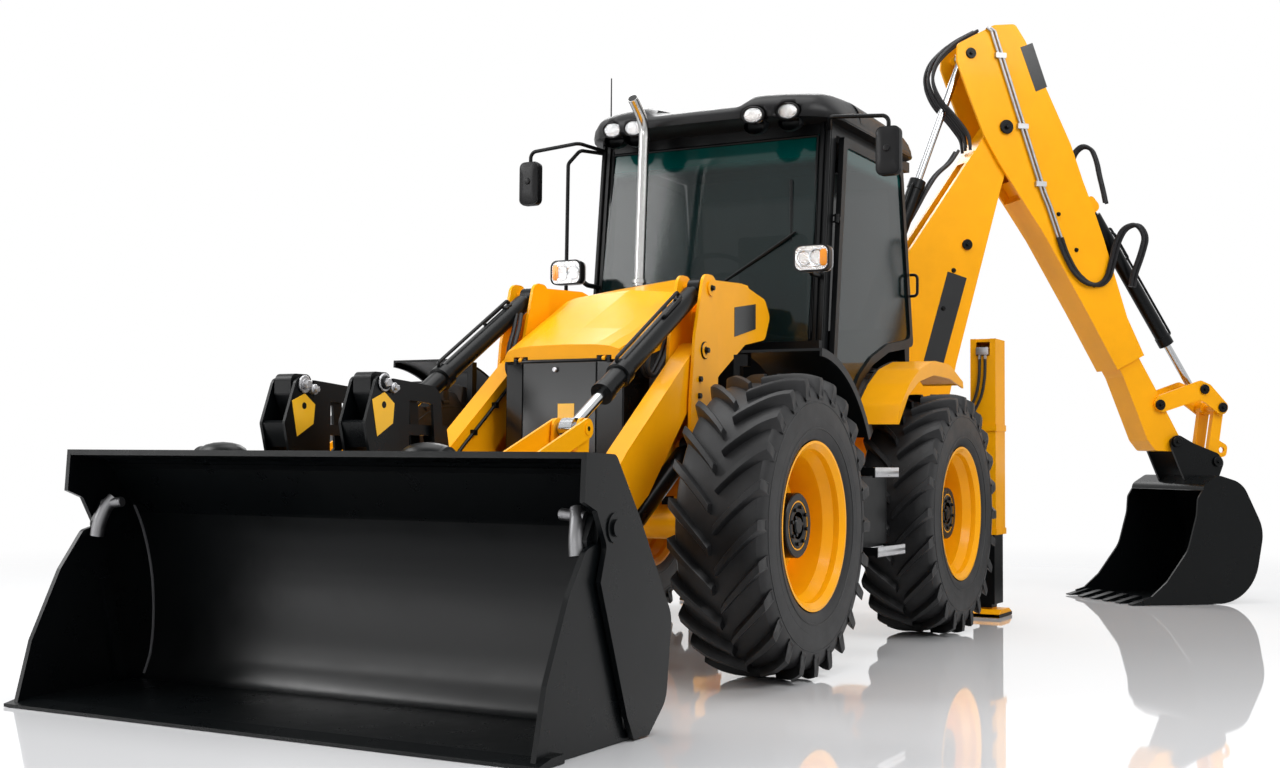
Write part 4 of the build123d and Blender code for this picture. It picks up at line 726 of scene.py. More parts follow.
HOE_LEFT = (HOE_SIN, HOE_COS, 0.0)
LOADER_PINS = [
    # name, body, x, z, y of the face, radius
    ("tower_pins", "chassis", 1.990, 1.805, 0.5505, 0.036),
    ("arm_pins", "chassis", 2.050, 1.500, 0.5505, 0.042),
    ("crank_top_pins", "bellcranks", 3.160, 1.100, 0.545, 0.034),
    ("crank_pins", "loader_arms", 3.200, 0.550, 0.5505, 0.042),
    ("lift_eye_pins", "loader_arms", 2.960, 0.470, 0.5305, 0.036),
    ("fork_pins", "front_bucket", 4.120, 1.250, 0.256, 0.026),
]
for name, body, x, z, face_y, radius in LOADER_PINS:
    add(name, pin_heads(straight, (0, 1, 0), x, z, face_y, radius, 0.62), "black", body)

HOE_PINS = [
    # name, body, reach, z, y of the face, radius
    ("boom_foot_pin", "kingpost", 0.380, 0.750, 0.1505, 0.048),
    ("boom_ram_eye_pin", "boom", 0.800, 2.505, 0.1165, 0.038),
    ("dipper_pin", "dipper", 1.090, 3.350, 0.1485, 0.05),
    ("dipper_ram_eye_pin", "dipper", 0.820, 3.860, 0.1405, 0.038),
    ("lever_pin", "inner_dipper", 2.300, 1.405, 0.1505, 0.038),
    ("lever_eye_pin", "tipping_lever", 2.665, 1.525, 0.1505, 0.036),
    ("lever_link_pin", "tipping_lever", 2.815, 1.395, 0.1505, 0.036),
    ("tool_pin", "backhoe_bucket", 2.420, 1.140, 0.1765, 0.038),
    ("tool_link_pin", "backhoe_bucket", 2.750, 1.000, 0.1765, 0.036),
]
for name, body, reach, z, face_y, radius in HOE_PINS:
    add(name, pin_heads(hoe, HOE_LEFT, reach, z, face_y, radius, 0.6), "black", body)

# Rams: gland rings, side pipes and fittings


def ram_trim(base, eye, share, bore, y_side):
    """A gland ring, a steel side pipe with two blocks and its clamps, on a ram between two places."""
    start, end = Vector(base), Vector(eye)
    along, across, over = frame_of(end - start)
    length = (end - start).length
    if over.z < 0:
        over = -over
    head = length * share
    wall = bore + 0.008
    shapes = [spun([(wall * 0.98, head - 0.06), (wall * 1.12, head - 0.055), (wall * 1.12, head - 0.004),
                    (wall * 0.9, head + 0.004), (bore * 0.66, head + 0.006)], start, along, 32)]
    ways = []
    for lift, low, high in ((1.0, 0.14, share * 0.97), (0.72, 0.16, 0.3)):
        rise = over * (wall + 0.022) * lift + Vector((0, 0.03 * y_side, 0)) * (1.0 - lift) * 3
        near, far = start + along * length * low, start + along * length * high
        ways.append((near + over * wall * 0.7, near + rise, far + rise, far + over * wall * 0.7))
    for way in ways:
        shapes.append(tube(way, 0.009, 0.03, 10))
    for place in (ways[0][0], ways[0][3], ways[1][0]):
        shapes.append(spun([(0.017, -0.014), (0.017, 0.014), (0.012, 0.02), (0.0, 0.02)], place, over, 6))
    return joined(*shapes)


RAM_TRIM = [
    # name, body, base, eye, barrel's share, bore radius, side
    ("tilt_trim_left", "tilt_ram_barrels", (1.990, 0.48, 1.805), (3.160, 0.48, 1.100), 0.66, 0.045, 1),
    ("tilt_trim_right", "tilt_ram_barrels", (1.990, -0.48, 1.805), (3.160, -0.48, 1.100), 0.66, 0.045, -1),
    ("boom_ram_trim", "boom_ram_barrel", hoe(0.190, 0, 1.180), hoe(0.800, 0, 2.505), 0.86, 0.045, 1),
    ("dipper_ram_trim", "dipper_ram_barrel", hoe(0.020, 0, 1.740), hoe(0.820, 0, 3.860), 0.57, 0.045, 1),
    ("bucket_ram_trim", "bucket_ram_barrel", hoe(1.820, 0, 2.840), hoe(2.665, 0, 1.525), 0.74, 0.042, 1),
]
for name, body, base, eye, share, bore, side in RAM_TRIM:
    add(name, ram_trim(base, eye, share, bore, side), "black", body)

# Loader hoses: loops from the tower to the tilt rams and pipes down the arms
HOSE_R = 0.011
ARM_PIPE_Y = 0.421
LOOP_WAY = [
    # x, distance from the middle, z
    (2.08, 0.40, 1.60), (2.16, 0.395, 1.46), (2.26, 0.39, 1.36), (2.33, 0.39, 1.40), (2.30, 0.40, 1.52),
    (2.22, 0.42, 1.62), (2.17, 0.44, 1.70),
]
ARM_WAY = [(2.10, 1.46), (2.38, 1.235), (2.72, 0.975), (2.83, 0.80)]
ARM_CLAMPS = [(2.2, 1.383), (2.38, 1.235), (2.56, 1.098)]
for label, side in SIDES:
    loops = [tube([(x, side * (y - step), z) for x, y, z in LOOP_WAY], HOSE_R, 0.08) for step in (0.0,
                                                                                                  0.028)]
    add("tilt_hoses_" + label, loops, "hose", "tilt_ram_barrels")
    y = side * ARM_PIPE_Y
    runs = [tube([(x, y, z) for x, z in ARM_WAY], 0.009, 0.1, 10)]
    runs += [block((x - 0.016, y - 0.014, z - 0.014), (x + 0.016, y + 0.014, z + 0.014))
             for x, z in ARM_CLAMPS]
    add("arm_pipes_" + label, runs, "black", "loader_arms")

# Backhoe hoses: the bundle over the boom's head and the ribbed loop to the bucket ram
BUNDLE_WAY = [(0.92, 4.03), (0.74, 3.93), (0.60, 3.79), (0.56, 3.66), (0.62, 3.52), (0.75, 3.40),
              (0.85, 3.28),
              (0.86, 3.19)]
HOSE_STEPS = [(-0.075, 0.0), (-0.045, 0.018), (-0.015, 0.006), (0.02, 0.02), (0.05, 0.0), (0.08, 0.014)]
bundle = [tube([hoe(reach - lift, y, z + lift) for reach, z in BUNDLE_WAY], HOSE_R, 0.09)
          for y, lift in HOSE_STEPS]
add("dipper_hoses", bundle, "hose", "dipper")
DROP_WAY = [(0.86, 3.19), (0.80, 3.10), (0.70, 3.02), (0.62, 2.90), (0.52, 2.72), (0.38, 2.50),
            (0.29, 2.30),
            (0.235, 2.0)]
drops = [tube([hoe(reach - 0.055 - lift, y, z) for reach, z in DROP_WAY], HOSE_R, 0.09)
         for y, lift in HOSE_STEPS[:4]]
add("boom_hoses", drops, "hose", "boom")
RIBBED_WAY = [(1.483, 2.582), (1.522, 2.474), (1.602, 2.333), (1.703, 2.255), (1.804, 2.251),
              (1.866, 2.307),
              (1.905, 2.436), (1.935, 2.56), (2.00, 2.675), (2.11, 2.71), (2.175, 2.62), (2.135, 2.486),
              (2.075, 2.34),
              (2.06, 2.25)]
UPPER_LOOP = [(1.61, 3.10), (1.655, 3.22), (1.72, 3.27), (1.79, 3.25), (1.83, 3.16), (1.85, 3.06),
              (1.88, 2.95),
              (1.90, 2.86)]
ribbed = [tube([hoe(reach + step, 0.163 - 0.3 * step, z) for reach, z in RIBBED_WAY], 0.0135, 0.09, 14,
               0.18)
          for step in (0.0, 0.034)]
ribbed += [tube([hoe(reach + step, 0.09 - step, z) for reach, z in UPPER_LOOP], 0.0125, 0.07, 14, 0.18)
           for step in (0.0, 0.04)]
add("dipper_loop_hoses", ribbed, "hose", "dipper")

# Cab: windscreen seals, wiper and aerial

CAB_HALF = 0.720
CAB_FLOOR = 1.130
SCREEN_LOW_X = 1.000
SCREEN_TOP_X = 0.820
CAB_TOP = 2.830
SCREEN_LEAN = (SCREEN_LOW_X - SCREEN_TOP_X) / (CAB_TOP - CAB_FLOOR)
SCREEN_OUT = Vector((1, 0, SCREEN_LEAN)).normalized()


def on_screen(y, z, out):
    """A place a little in front of the windscreen's outer face."""
    return (SCREEN_LOW_X - (z - CAB_FLOOR) * SCREEN_LEAN + out, y, z)


seals = []
for side in (1, -1):
    y = side * (CAB_HALF - 0.078)
    seals.append(tube([on_screen(y, 1.63, 0.004), on_screen(y, 2.76, 0.004)], 0.009, 0.02, 8))
    for step in (0.0, 0.028):
        y = side * (CAB_HALF - 0.03 + step - 0.014)
        seals.append(tube([on_screen(y, 1.35, 0.006), on_screen(y, 2.79, 0.006)], 0.008, 0.02, 8))
for z in (1.632, 2.762):
    ends = [on_screen(-CAB_HALF + 0.08, z, 0.004), on_screen(CAB_HALF - 0.08, z, 0.004)]
    seals.append(tube(ends, 0.009, 0.02, 8))
add("windscreen_seals", seals, "satin_black")

WIPER_FOOT = (-0.04, 1.86)
WIPER_TIP_Y, WIPER_TIP_Z = 0.52, 2.20
BLADE_LOW, BLADE_HIGH = 2.17, 2.52
foot = Vector(on_screen(*WIPER_FOOT, 0.03))
tip = Vector(on_screen(WIPER_TIP_Y, WIPER_TIP_Z, 0.035))
wiper = [spun([(0.024, -0.03), (0.024, 0.012), (0.016, 0.02), (0.0, 0.02)], foot, SCREEN_OUT, 20)]
for step in (0.0, 0.03):
    shift = Vector((0, step, step * 0.8))
    wiper.append(tube([foot + shift, tip + shift], 0.0065, 0.02, 8))
blade_low = Vector(on_screen(WIPER_TIP_Y, BLADE_LOW, 0.018))
blade_high = Vector(on_screen(WIPER_TIP_Y - 0.02, BLADE_HIGH, 0.018))
wiper.append(tube([blade_low, blade_high], 0.009, 0.02, 6))
wiper.append(tube([tip, blade_low.lerp(blade_high, 0.12) + SCREEN_OUT * 0.01], 0.007, 0.02, 8))
add("wiper", wiper, "satin_black")

AERIAL = (0.80, -0.684, 2.91)
aerial = [spun([(0.02, 0), (0.018, 0.03), (0.007, 0.045), (0.0045, 0.06), (0.0035, 0.322), (0.0, 0.325)],
               AERIAL, (0, 0, 1), 12)]
add("aerial", aerial, "satin_black")

# Mirrors: a rounded shell with its glass facing back
MIRROR_X = 1.007
MIRROR_Y = 1.110
MIRROR_Z = 2.6025


def rounded_box_face(half_y, half_z, corner, steps=6):
    points = []
    for centre_y, centre_z, start in ((1, 1, 0), (-1, 1, 90), (-1, -1, 180), (1, -1, 270)):
        for i in range(steps + 1):
            turn = math.radians(start + 90 * i / steps)
            points.append((centre_y * (half_y - corner) + corner * math.cos(turn),
                           centre_z * (half_z - corner) + corner * math.sin(turn)))
    return points


def shell(place, face, depths):
    """Rings of one face outline, scaled, at steps along X: (x shift, scale)."""
    vertices = [(place[0] + shift, place[1] + y * scale, place[2] + z * scale)
                for shift, scale in depths for y, z in face]
    cap = tuple(range(len(vertices) - len(face), len(vertices)))
    return vertices, ring_faces(len(depths), len(face)) + [cap]


MIRROR_DEPTHS = [
    # x shift, scale
    (-0.022, 0.9), (-0.0235, 1.0), (0.012, 1.01), (0.026, 0.94), (0.034, 0.75), (0.036, 0.4),
]
BOWL_DEPTHS = [
    # x shift, scale
    (-0.05, 0.35), (-0.035, 0.72), (0.0, 0.97), (0.02, 1.03), (0.061, 1.03), (0.062, 0.93), (0.05, 0.92),
]
for label, side in SIDES:
    centre = (MIRROR_X, side * MIRROR_Y, MIRROR_Z)
    cover = shell(centre, rounded_box_face(0.066, 0.129, 0.036), MIRROR_DEPTHS)
    ball = spun([(0.0, -0.012), (0.016, -0.008), (0.02, 0.0), (0.016, 0.008), (0.0, 0.012)],
                (MIRROR_X + 0.036, side * MIRROR_Y, MIRROR_Z + 0.01), (1, 0, 0), 16)
    add("mirror_shell_" + label, [cover, ball], "dark_plastic", "chassis")
    face = shell((MIRROR_X - 0.0245, side * MIRROR_Y, MIRROR_Z), rounded_box_face(0.058, 0.12, 0.03),
                 [(0.0, 1.0)])
    add("mirror_glass_" + label, face, "mirror", "chassis")

# Head lamps: a black bowl, a bright reflector with two rings, and an amber end
HEAD_PLACE = (1.130, 0.750, 2.036)
HEAD_HALF_Y, HEAD_HALF_Z = 0.0985, 0.068
HEAD_FACE = 0.0605
for label, side in SIDES:
    centre = (HEAD_PLACE[0], side * HEAD_PLACE[1], HEAD_PLACE[2] + 0.002)
    face = rounded_box_face(HEAD_HALF_Y, HEAD_HALF_Z, 0.038)
    bowl = shell(centre, face, BOWL_DEPTHS)
    add("head_lamp_bowl_" + label, bowl, "dark_plastic", "chassis")
    inner = rounded_box_face(HEAD_HALF_Y * 0.92, HEAD_HALF_Z * 0.92, 0.034)
    reflector = shell((centre[0] + HEAD_FACE, centre[1], centre[2]), inner, [(0.0, 1.0)])
    # The reflector finish carries a painted highlight in each cell
    add("head_lamp_reflector_" + label, reflector, "reflector", "chassis")
    rings = []
    for offset, radius in ((-0.045, 0.04), (0.03, 0.044)):
        profile = [(radius, 0.0), (radius * 1.04, 0.003), (radius * 0.96, 0.0035), (radius * 0.9, 0.001)]
        place = (centre[0] + HEAD_FACE, centre[1] + side * offset, centre[2])
        rings.append(spun(profile, place, (1, 0, 0), 28))
    add("head_lamp_rings_" + label, rings, "chrome", "chassis")
    place = (centre[0] + 0.0612, centre[1] + side * 0.068, centre[2])
    amber = shell(place, rounded_box_face(0.02, 0.045, 0.018), [(0.0, 1.0), (0.003, 0.9)])
    add("side_lamp_" + label, amber, "amber", "chassis")

# Roof lamps: rings, lenses and the rounded backs under the brow
ROOF_LAMPS = [
    # x, y, z
    (1.020, 0.544, 2.868), (1.088, 0.369, 2.850),
]
LAMP_WAY = Vector((1, 0, -0.17)).normalized()
LAMP_WIDE = 1.42
LENS_OUT = 0.0085


def widened(shape, y, factor=LAMP_WIDE):
    """The shape stretched across the machine about one place."""
    return [tuple(Vector((a, y + (b - y) * factor, c))) for a, b, c in shape[0]], shape[1]


for x, y, z in ROOF_LAMPS:
    for label, side in SIDES:
        name = label + ("_outer" if y > 0.5 else "_inner")
        lens = Vector((x, side * y, z)) + LAMP_WAY * LENS_OUT
        ring = spun([(0.0465, -0.012), (0.0475, 0.004), (0.044, 0.008), (0.039, 0.006), (0.038, 0.0)], lens,
                    LAMP_WAY, 36)
        add("roof_lamp_ring_" + name, widened(ring, side * y), "dark_plastic", "chassis")
        bulb = spun([(0.0385, 0.0015), (0.03, 0.005), (0.016, 0.0075), (0.0, 0.008)], lens, LAMP_WAY, 36)
        # The reflector finish carries a painted highlight in each cell
        add("roof_lamp_lens_" + name, widened(bulb, side * y), "reflector", "chassis")
        back = Vector((x, side * y, z)) - LAMP_WAY * 0.04 - Vector((0, 0, 0.06))
        bowl = spun([(0.044, 0.03), (0.05, 0.0), (0.045, -0.03), (0.025, -0.05), (0.0, -0.055)], back,
                    LAMP_WAY, 28)
        add("roof_lamp_back_" + name, widened(bowl, side * y), "satin_black")

# Roof: one smooth cap with a brow over each pair of lamps, its lamp seats cut out of the lip

ROOF_LOW = 2.8305
ROOF_FRONT = [
    # distance from the middle, x of the lip
    (0.0, 1.108), (0.27, 1.106), (0.40, 1.094), (0.50, 1.068), (0.58, 1.032), (0.66, 0.985), (0.72, 0.93),
    (0.76, 0.87), (0.786, 0.79),
]
ROOF_BACK = [(0.0, -0.438), (0.66, -0.436), (0.72, -0.425), (0.76, -0.39), (0.786, -0.335)]
ROOF_HALF = 0.786


def between(table, key):
    """Straight interpolation in a table of (key, value)."""
    for (k0, v0), (k1, v1) in zip(table, table[1:]):
        if key <= k1:
            return v0 + (v1 - v0) * (key - k0) / (k1 - k0)
    return table[-1][1]


def eased(low, high, value):
    t = min(1.0, max(0.0, (value - low) / (high - low)))
    return t * t * (3 - 2 * t)


def roof_section(y):
    """The closed outline of the roof in one lengthwise plane, as (x, z) points."""
    y = abs(y)
    front, back = between(ROOF_FRONT, y), between(ROOF_BACK, y)
    brow = eased(0.25, 0.36, y) * (1 - eased(0.66, 0.785, y))
    side = math.sqrt(max(0.0, 1 - max(0.0, (y - 0.66) / (ROOF_HALF - 0.66)) ** 2.6))
    keys = [(back, 0.0), (back - 0.002, 0.03), (back + 0.012, 0.075), (back + 0.05, 0.115),
            (back + 0.12, 0.142), (0.05, 0.158), (0.35, 0.168), (0.55, 0.168 + 0.008 * brow),
            (front - 0.34, 0.152 + 0.026 * brow), (front - 0.22, 0.125 + 0.046 * brow),
            (front - 0.13, 0.106 + 0.05 * brow), (front - 0.07, 0.09 + 0.044 * brow),
            (front - 0.03, 0.074 + 0.034 * brow), (front - 0.006, 0.055 + 0.02 * brow), (front, 0.035),
            (front - 0.008, 0.008), (front - 0.05, 0.0)]
    return [(x, ROOF_LOW + z * (0.22 + 0.78 * side)) for x, z in keys]


ROOF_COLUMNS = 96
vertices = []
for column in range(ROOF_COLUMNS + 1):
    turn = math.pi * (column / ROOF_COLUMNS - 0.5)
    y = ROOF_HALF * (0.35 * math.sin(turn) + 0.65 * (2 * column / ROOF_COLUMNS - 1))
    vertices += [(x, y, z) for x, z in roof_section(y)]
count = len(roof_section(0.0))
faces = ring_faces(ROOF_COLUMNS + 1, count)
faces.append(tuple(range(count)))
faces.append(tuple(reversed(range(len(vertices) - count, len(vertices)))))


def applied(piece):
    """Works the piece's modifiers into its mesh."""
    bpy.context.view_layer.update()
    mesh = bpy.data.meshes.new_from_object(piece.evaluated_get(bpy.context.evaluated_depsgraph_get()))
    piece.modifiers.clear()
    piece.data = mesh


roof = add("roof_cap", (vertices, faces), "dark_plastic", "chassis", 40.0)
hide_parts("cab_roof")

seat_shapes = []
for x, y, z in ROOF_LAMPS:
    for side in (1, -1):
        lens = Vector((x, side * y, z))
        seat = spun([(0.0, -0.03), (0.0485, -0.03), (0.0485, 0.1), (0.0, 0.1)], lens, LAMP_WAY, 40)
        seat_shapes.append(widened(seat, side * y))
cutter = add("roof_lamp_seats", seat_shapes, "dark_plastic", None)
cut = roof.modifiers.new("seats", "BOOLEAN")
cut.operation = "DIFFERENCE"
cut.solver = "EXACT"
cut.object = cutter
applied(roof)
bpy.data.objects.remove(cutter)
ridge = tube([(0.93, -0.30, 2.972), (0.72, -0.30, 2.995), (0.3, -0.30, 3.004)], 0.004, 0.1, 6)
add("roof_seams", [ridge, flipped(ridge)], "dark_plastic")

# Smooth front panels over the grille's louvres, in its three planes
PANEL_LOW, PANEL_TOP = 0.935, 1.428
PANEL_PLAN = [(2.427, -0.322), (2.468, -0.203), (2.468, 0.203), (2.427, 0.322)]
panels = []
for (x0, y0), (x1, y1) in zip(PANEL_PLAN, PANEL_PLAN[1:]):
    run = Vector((x1 - x0, y1 - y0, 0))
    width, height = run.length, PANEL_TOP - PANEL_LOW
    corners = [(0.004, 0), (width - 0.004, 0), (width - 0.004, height), (0.004, height)]
    panels.append(sheet_plate(corners, (x0, y0, PANEL_LOW), run, (0, 0, 1), 0.0035, 0.0015))
add("grille_panels", panels, "gloss_black")

# Blank plates where the machine carries its signs
PLATES = [
    # name, body, outline as (reach or x, z), y of the face, on the backhoe
    ("boom_plate", "boom", [(0.455, 1.62), (0.62, 1.66), (0.80, 2.27), (0.655, 2.31)], 0.1105, True),
    ("dipper_plate", "dipper", [(1.205, 3.93), (1.30, 3.97), (1.415, 3.66), (1.325, 3.62)], 0.1405, True),
    ("panel_plate", "chassis", [(1.34, 1.66), (1.34, 1.79), (1.60, 1.75), (1.60, 1.60)], 0.5005, False),
]
for name, body, corners, face_y, on_hoe in PLATES:
    place_of = hoe if on_hoe else straight
    front = [place_of(a, face_y + 0.0015, b) for a, b in corners]
    back = [place_of(a, face_y, b) for a, b in corners]
    faces = [(0, 1, 2, 3), (7, 6, 5, 4)] + [(i, (i + 1) % 4, 4 + (i + 1) % 4, 4 + i) for i in range(4)]
    add(name, (front + back, faces), "gloss_black", body)

# Steps: ribs and round holes pressed into each tread
STEPS = [
    # x from, x to, height of the tread
    (0.950, 1.370, 0.534), (1.050, 1.410, 0.929),
]
STEP_IN, STEP_OUT = 1.038, 1.1825
STEP_HOLE = [(0.0095, 0.0), (0.0085, 0.005), (0.0065, 0.0055), (0.006, 0.001)]
for row, (x0, x1, z) in enumerate(STEPS):
    for label, side in SIDES:
        y0, y1 = sorted((side * STEP_IN, side * STEP_OUT))
        parts = [block((x0 + 0.008, y0, z - 0.0155), (x1 - 0.008, y1, z + 0.001), 0.002)]
        count = round((x1 - x0) / 0.03)
        for i in range(count):
            x = x0 + 0.024 + i * (x1 - x0 - 0.048) / (count - 1)
            for k in range(4):
                parts.append(spun(STEP_HOLE, (x, side * (1.062 + 0.03 * k), z), (0, 0, 1), 12))
        front_y = side * STEP_OUT
        for i in range(count * 2):
            x = x0 + 0.012 + i * (x1 - x0 - 0.024) / (count * 2 - 1)
            low, high = sorted((front_y - side * 0.0145, front_y))
            parts.append(block((x - 0.0045, low, z - 0.03), (x + 0.0045, high, z + 0.0175), 0.0015))
        add(f"step_tread_{row}_{label}", parts, "aluminium")

# Fork carriers: blank label plates with their holes, and pin washers
FORK_Y = 0.190
LABEL = [(-0.03, -0.085), (0.062, -0.035), (0.07, 0.04), (0.01, 0.08), (-0.062, 0.05)]
for label, side in SIDES:
    near = side * FORK_Y + 0.062
    place = (4.125, near + 0.0005, 1.135)
    label_shape = sheet_plate(LABEL, place, (-1, 0, 0), (0, 0, 1), 0.0015, 0.0005)
    add("blank_label_" + label, label_shape, "label_yellow", "front_bucket")
    hole = disc_head((4.118, near + 0.001, 1.168), (0, 1, 0), 0.013, 0.002, 20)
    add("label_hole_" + label, hole, "satin_black", "front_bucket")
    washers = [disc_head((4.120, near + 0.003, 1.250), (0, 1, 0), 0.034, 0.006, 32),
               bolt((4.120, near + 0.009, 1.250), (0, 1, 0), 0.03),
               disc_head((4.072, near + 0.0005, 1.232), (0, 1, 0), 0.02, 0.018, 24),
               bolt((4.072, near + 0.0185, 1.232), (0, 1, 0), 0.02)]
    add("fork_pin_washers_" + label, washers, "steel", "front_bucket")

# Grille: knob and blank square
GRILLE_X = 2.4717
knob = spun([(0.012, 0.0), (0.012, 0.012), (0.009, 0.016), (0.0, 0.016)], (GRILLE_X, -0.02, 1.395),
            (1, 0, 0), 20)
add("grille_knob", knob, "steel", "chassis")
SQUARE_HALF = 0.045
square_corners = [(a * SQUARE_HALF, b * SQUARE_HALF) for a, b in ((-1, -1), (1, -1), (1, 1), (-1, 1))]
square = sheet_plate(square_corners, (GRILLE_X, 0.04, 1.19), (0, 1, 0), (0, 0, 1), 0.0025, 0.001)
add("blank_square", square, "label_yellow", "chassis")

# Rear fender edge seals
FENDER_TOP = [(0.636, 1.186), (0.578, 1.294), (0.43, 1.412), (0.25, 1.507), (0.0, 1.567), (-0.3, 1.562),
              (-0.565, 1.475)]
FENDER_SEAL_Y = 0.776
for label, side in SIDES:
    seam = tube([(x, side * FENDER_SEAL_Y, z) for x, z in FENDER_TOP], 0.007, 0.12, 8)
    add("fender_seal_" + label, seam, "satin_black")

# Stabiliser trim: valve block with two hoses in each top recess, and a foot rim
STABILISER_Y = 1.016
FOOT_FACE = [(-0.11, -0.01), (0.11, -0.01), (0.11, 0.01), (-0.11, 0.01)]
for label, side in SIDES:
    parts = [block((-1.062, side * STABILISER_Y - 0.04, 1.665), (-1.03, side * STABILISER_Y + 0.04, 1.715),
                   0.003)]
    for step in (-0.018, 0.018):
        y = side * STABILISER_Y + step
        parts.append(spun([(0.01, 0), (0.01, 0.03), (0.0, 0.03)], (-1.04, y, 1.667), (0, 0, -1), 6))
    add("stabiliser_valve_" + label, parts, "steel", "chassis")
    lines = []
    for step in (-0.018, 0.018):
        y = side * STABILISER_Y + step
        lines.append(tube([(-1.04, y, 1.64), (-1.035, y, 1.52), (-1.03, y - side * 0.02, 1.40),
                           (-1.03, y - side * 0.07, 1.30), (-1.04, y - side * 0.12, 1.24)], 0.0095, 0.08,
                          12))
    add("stabiliser_hoses_" + label, lines, "hose")
    pad = shell((-1.160, side * STABILISER_Y, 0.011), FOOT_FACE,
                [(-0.15, 1.0), (-0.15, 1.03), (0.15, 1.03), (0.15, 1.0)])
    add("stabiliser_foot_rim_" + label, pad, "satin_black", "stabiliser_" + label)

# Bolted joints on the tower, the boom and the dipper
BOLT_ROWS = [
    # name, body, first place, last place, count, direction, size
    ("tower_bolts", "chassis", (2.10, 0.5505, 1.36), (2.12, 0.5505, 1.12), 4, (0, 1, 0), 0.026),
    ("boom_bolts", "boom", hoe(0.62, 0.1105, 2.05), hoe(0.70, 0.1105, 2.32), 2, HOE_LEFT, 0.024),
    ("dipper_bolts", "dipper", hoe(1.50, 0.1405, 2.75), hoe(1.78, 0.1405, 2.25), 3, HOE_LEFT, 0.022),
]
for name, body, first, last, count, direction, size in BOLT_ROWS:
    places = [Vector(first).lerp(Vector(last), i / (count - 1)) for i in range(count)]
    add(name, [bolt(place, direction, size) for place in places], "satin_black", body)

# Front bucket: a smooth wear plate with welds at its ends, rounded covers on the top edge, fork half frames
LINER = [
    # x, z
    (3.905, 0.012), (3.860, 0.050), (3.828, 0.120), (3.814, 0.220), (3.813, 0.330), (3.823, 0.450),
         (3.850, 0.570),
    (3.889, 0.680), (3.935, 0.766), (3.985, 0.836), (4.040, 0.902), (4.080, 0.939),
]
LINER_HALF = 1.199
WALLS = [(0, 1), (2, 3), (0, 2), (1, 3)]


def wall_faces(count, steps):
    """Four walls between four rows of count vertices, over a number of steps along them."""
    faces = []
    for i in range(steps):
        k = (i + 1) % count
        faces += [(a * count + i, a * count + k, b * count + k, b * count + i) for a, b in WALLS]
    return faces


liner_way = rounded_way([(x, 0, z) for x, z in LINER], 0.2, 4)
vertices = [(point.x + shift, y, point.z) for shift in (0.0, -0.004) for y in (-LINER_HALF, LINER_HALF)
            for point in liner_way]
count = len(liner_way)
faces = wall_faces(count, count - 1)
faces.append((0, count, 3 * count, 2 * count))
faces.append((count - 1, 2 * count - 1, 4 * count - 1, 3 * count - 1))
add("bucket_wear_plate", (vertices, faces), "wear_black", "front_bucket", 60.0)
welds = [tube([(x + 0.004, side * (LINER_HALF - 0.003), z) for x, z in LINER[1:9]], 0.006, 0.2, 8)
         for side in (1, -1)]
add("bucket_welds", welds, "casting", "front_bucket")
domes = []
for y in (-0.485, 0.494):
    dome = spun([(0.082, 0.0), (0.081, 0.014), (0.073, 0.03), (0.056, 0.043), (0.03, 0.051), (0.0, 0.054)],
                (4.17, y, 0.975), (0, 0, 1), 40)
    domes.append(widened(dome, y, 1.3))
add("clam_head_covers", domes, "satin_black", "front_bucket")


def framed_plate(outer, inner, y0, y1):
    """An upright plate with a window: two loops of as many (x, z) points."""
    loops = [[(x, y, z) for x, z in loop] for y in (y0, y1) for loop in (outer, inner)]
    count = len(outer)
    return loops[0] + loops[1] + loops[2] + loops[3], wall_faces(count, count)


HALF_FRAME = [(4.060, 1.268), (3.965, 1.262), (3.800, 1.250), (3.762, 1.222), (3.738, 1.020),
              (3.925, 0.790),
              (4.070, 0.960), (4.068, 1.100)]
HALF_WINDOW = [(3.960, 1.190), (3.935, 1.190), (3.850, 1.185), (3.812, 1.180), (3.795, 1.010),
               (3.850, 0.965),
               (3.960, 0.960), (3.962, 1.080)]
for label, side in SIDES:
    frames = [framed_plate(HALF_FRAME, HALF_WINDOW, side * FORK_Y + low, side * FORK_Y + low + 0.011)
              for low in (-0.0615, 0.0505)]
    frames.append(block((3.745, side * FORK_Y - 0.0515, 1.195), (3.79, side * FORK_Y + 0.0515, 1.215),
                        0.003))
    add("fork_half_frame_" + label, frames, "satin_black", "front_bucket")

# Exhaust: one tube with a long bend, its capped end covered by a black disc as painted shade for the open
# mouth
EXHAUST_Y = -0.25
EXHAUST_WAY = [(1.233, EXHAUST_Y, 1.93), (1.210, EXHAUST_Y, 2.37), (1.184, EXHAUST_Y, 2.845),
               (1.326, EXHAUST_Y, 2.958)]
EXHAUST_R = 0.0295
exhaust_tube = tube(EXHAUST_WAY, EXHAUST_R, 0.1, 28)
mouth_way = (Vector(EXHAUST_WAY[3]) - Vector(EXHAUST_WAY[2])).normalized()
collar_profile = [(0.031, 0.0), (0.038, 0.0), (0.038, 0.02), (0.031, 0.024)]
exhaust_collar = spun(collar_profile, (1.2325, EXHAUST_Y, 1.945), (-0.05, 0, 1), 28)
exhaust = add("exhaust_tube", [exhaust_tube, exhaust_collar], "exhaust", "chassis", 50.0)
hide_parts("exhaust")
# A black disc just past the tube's capped end: painted shade standing for the dark inside of the open pipe
mouth_painted_shade = spun([(EXHAUST_R - 0.003, 0.0), (0.0, 0.0)], Vector(EXHAUST_WAY[3]) + mouth_way * 0.0006, mouth_way,
             28)
add("exhaust_mouth_painted_shade", mouth_painted_shade, "satin_black")

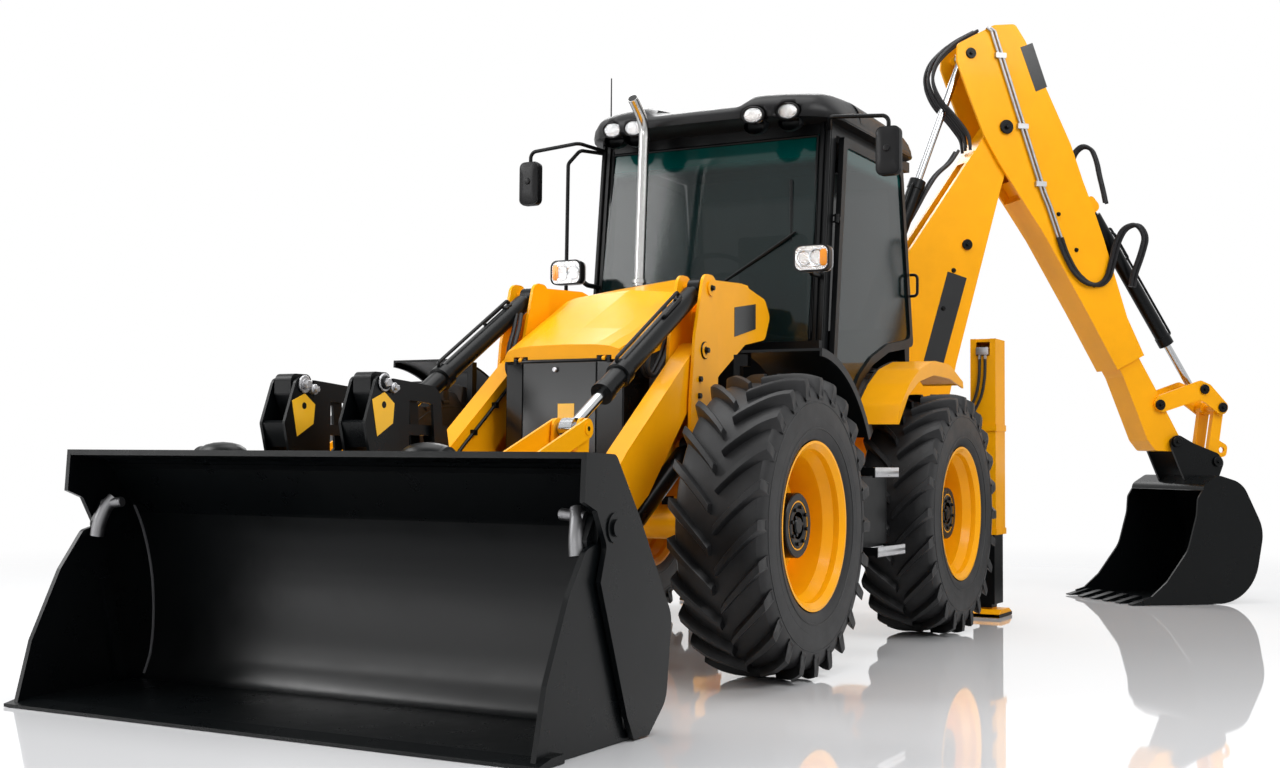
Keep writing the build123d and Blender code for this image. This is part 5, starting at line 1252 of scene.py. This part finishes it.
# Grille lip under the bonnet's front edge, and the clam knuckles' castings with their hose ends
add("grille_lip", tube([(2.425, -0.31, 1.434), (2.452, -0.2, 1.436), (2.452, 0.2, 1.436),
                        (2.425, 0.31, 1.434)], 0.011,
                       0.05, 10), "satin_black")
for label, side in SIDES:
    casting = [tube([(4.140, side * 1.100, 0.800), (4.165, side * 1.118, 0.765),
                     (4.190, side * 1.128, 0.70),
                     (4.195, side * 1.135, 0.645)], 0.027, 0.08, 16),
               spun([(0.0, -0.07), (0.021, -0.068), (0.021, 0.03), (0.017, 0.034), (0.0, 0.034)],
                    (4.152, side * 1.075, 0.782), (0, -side, 0.1), 16)]
    add("clam_knuckle_" + label, casting, "bare_casting", "clam_jaw")

# Hubs: a black sleeve round each
SLEEVE_Y = 1.0085
for name, x, side in WHEELS:
    sleeve = spun([(0.1465, 0.0), (0.1465, 0.0985), (0.142, 0.1035), (0.112, 0.1035)],
                  (x, side * SLEEVE_Y, TYRE_R), (0, side, 0), 48)
    add("hub_sleeve_" + name, sleeve, "black", "wheel_" + name)


# Driver's seat: two pads, swollen as cloth over foam, with sewn channels
PADS = [
    # lowest corner, highest corner
    ((-0.055, -0.238, 1.612), (0.485, 0.238, 1.708)),
    ((-0.078, -0.228, 1.733), (0.038, 0.228, 2.368)),
]
PAD_EDGE = 0.03
PAD_VOXEL = 0.013
PAD_CAP = 0.012
CHANNEL_Y = 0.115
CHANNEL_DEEP = 0.006
CHANNEL_WIDE = 0.012
PAD_PRESSURE = 4.0
PAD_FRAMES = 20
pads = [block(low, high, PAD_EDGE) for low, high in PADS]
seat = add("driver_seat", pads, "seat", "chassis")
remesh = seat.modifiers.new("remesh", "REMESH")
remesh.mode = "VOXEL"
remesh.voxel_size = PAD_VOXEL
applied(seat)
rest_places = [vertex.co.copy() for vertex in seat.data.vertices]
cloth = seat.modifiers.new("cloth", "CLOTH")
cloth.settings.use_pressure = True
cloth.settings.uniform_pressure_force = PAD_PRESSURE
cloth.settings.effector_weights.gravity = 0.0
for step in range(1, PAD_FRAMES + 1):
    bpy.context.scene.frame_set(step)
applied(seat)
for vertex, rest in zip(seat.data.vertices, rest_places):
    move = vertex.co - rest
    if move.length > PAD_CAP:
        vertex.co = rest + move.normalized() * PAD_CAP
for vertex in seat.data.vertices:
    off = abs(abs(vertex.co.y - ORIGIN.y) - CHANNEL_Y)
    vertex.co -= vertex.normal * CHANNEL_DEEP * math.exp(-(off / CHANNEL_WIDE) ** 2)
smoother = seat.modifiers.new("subdivision", "SUBSURF")
smoother.levels = 1
applied(seat)
seat.data.shade_smooth()
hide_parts("seat_cushions")
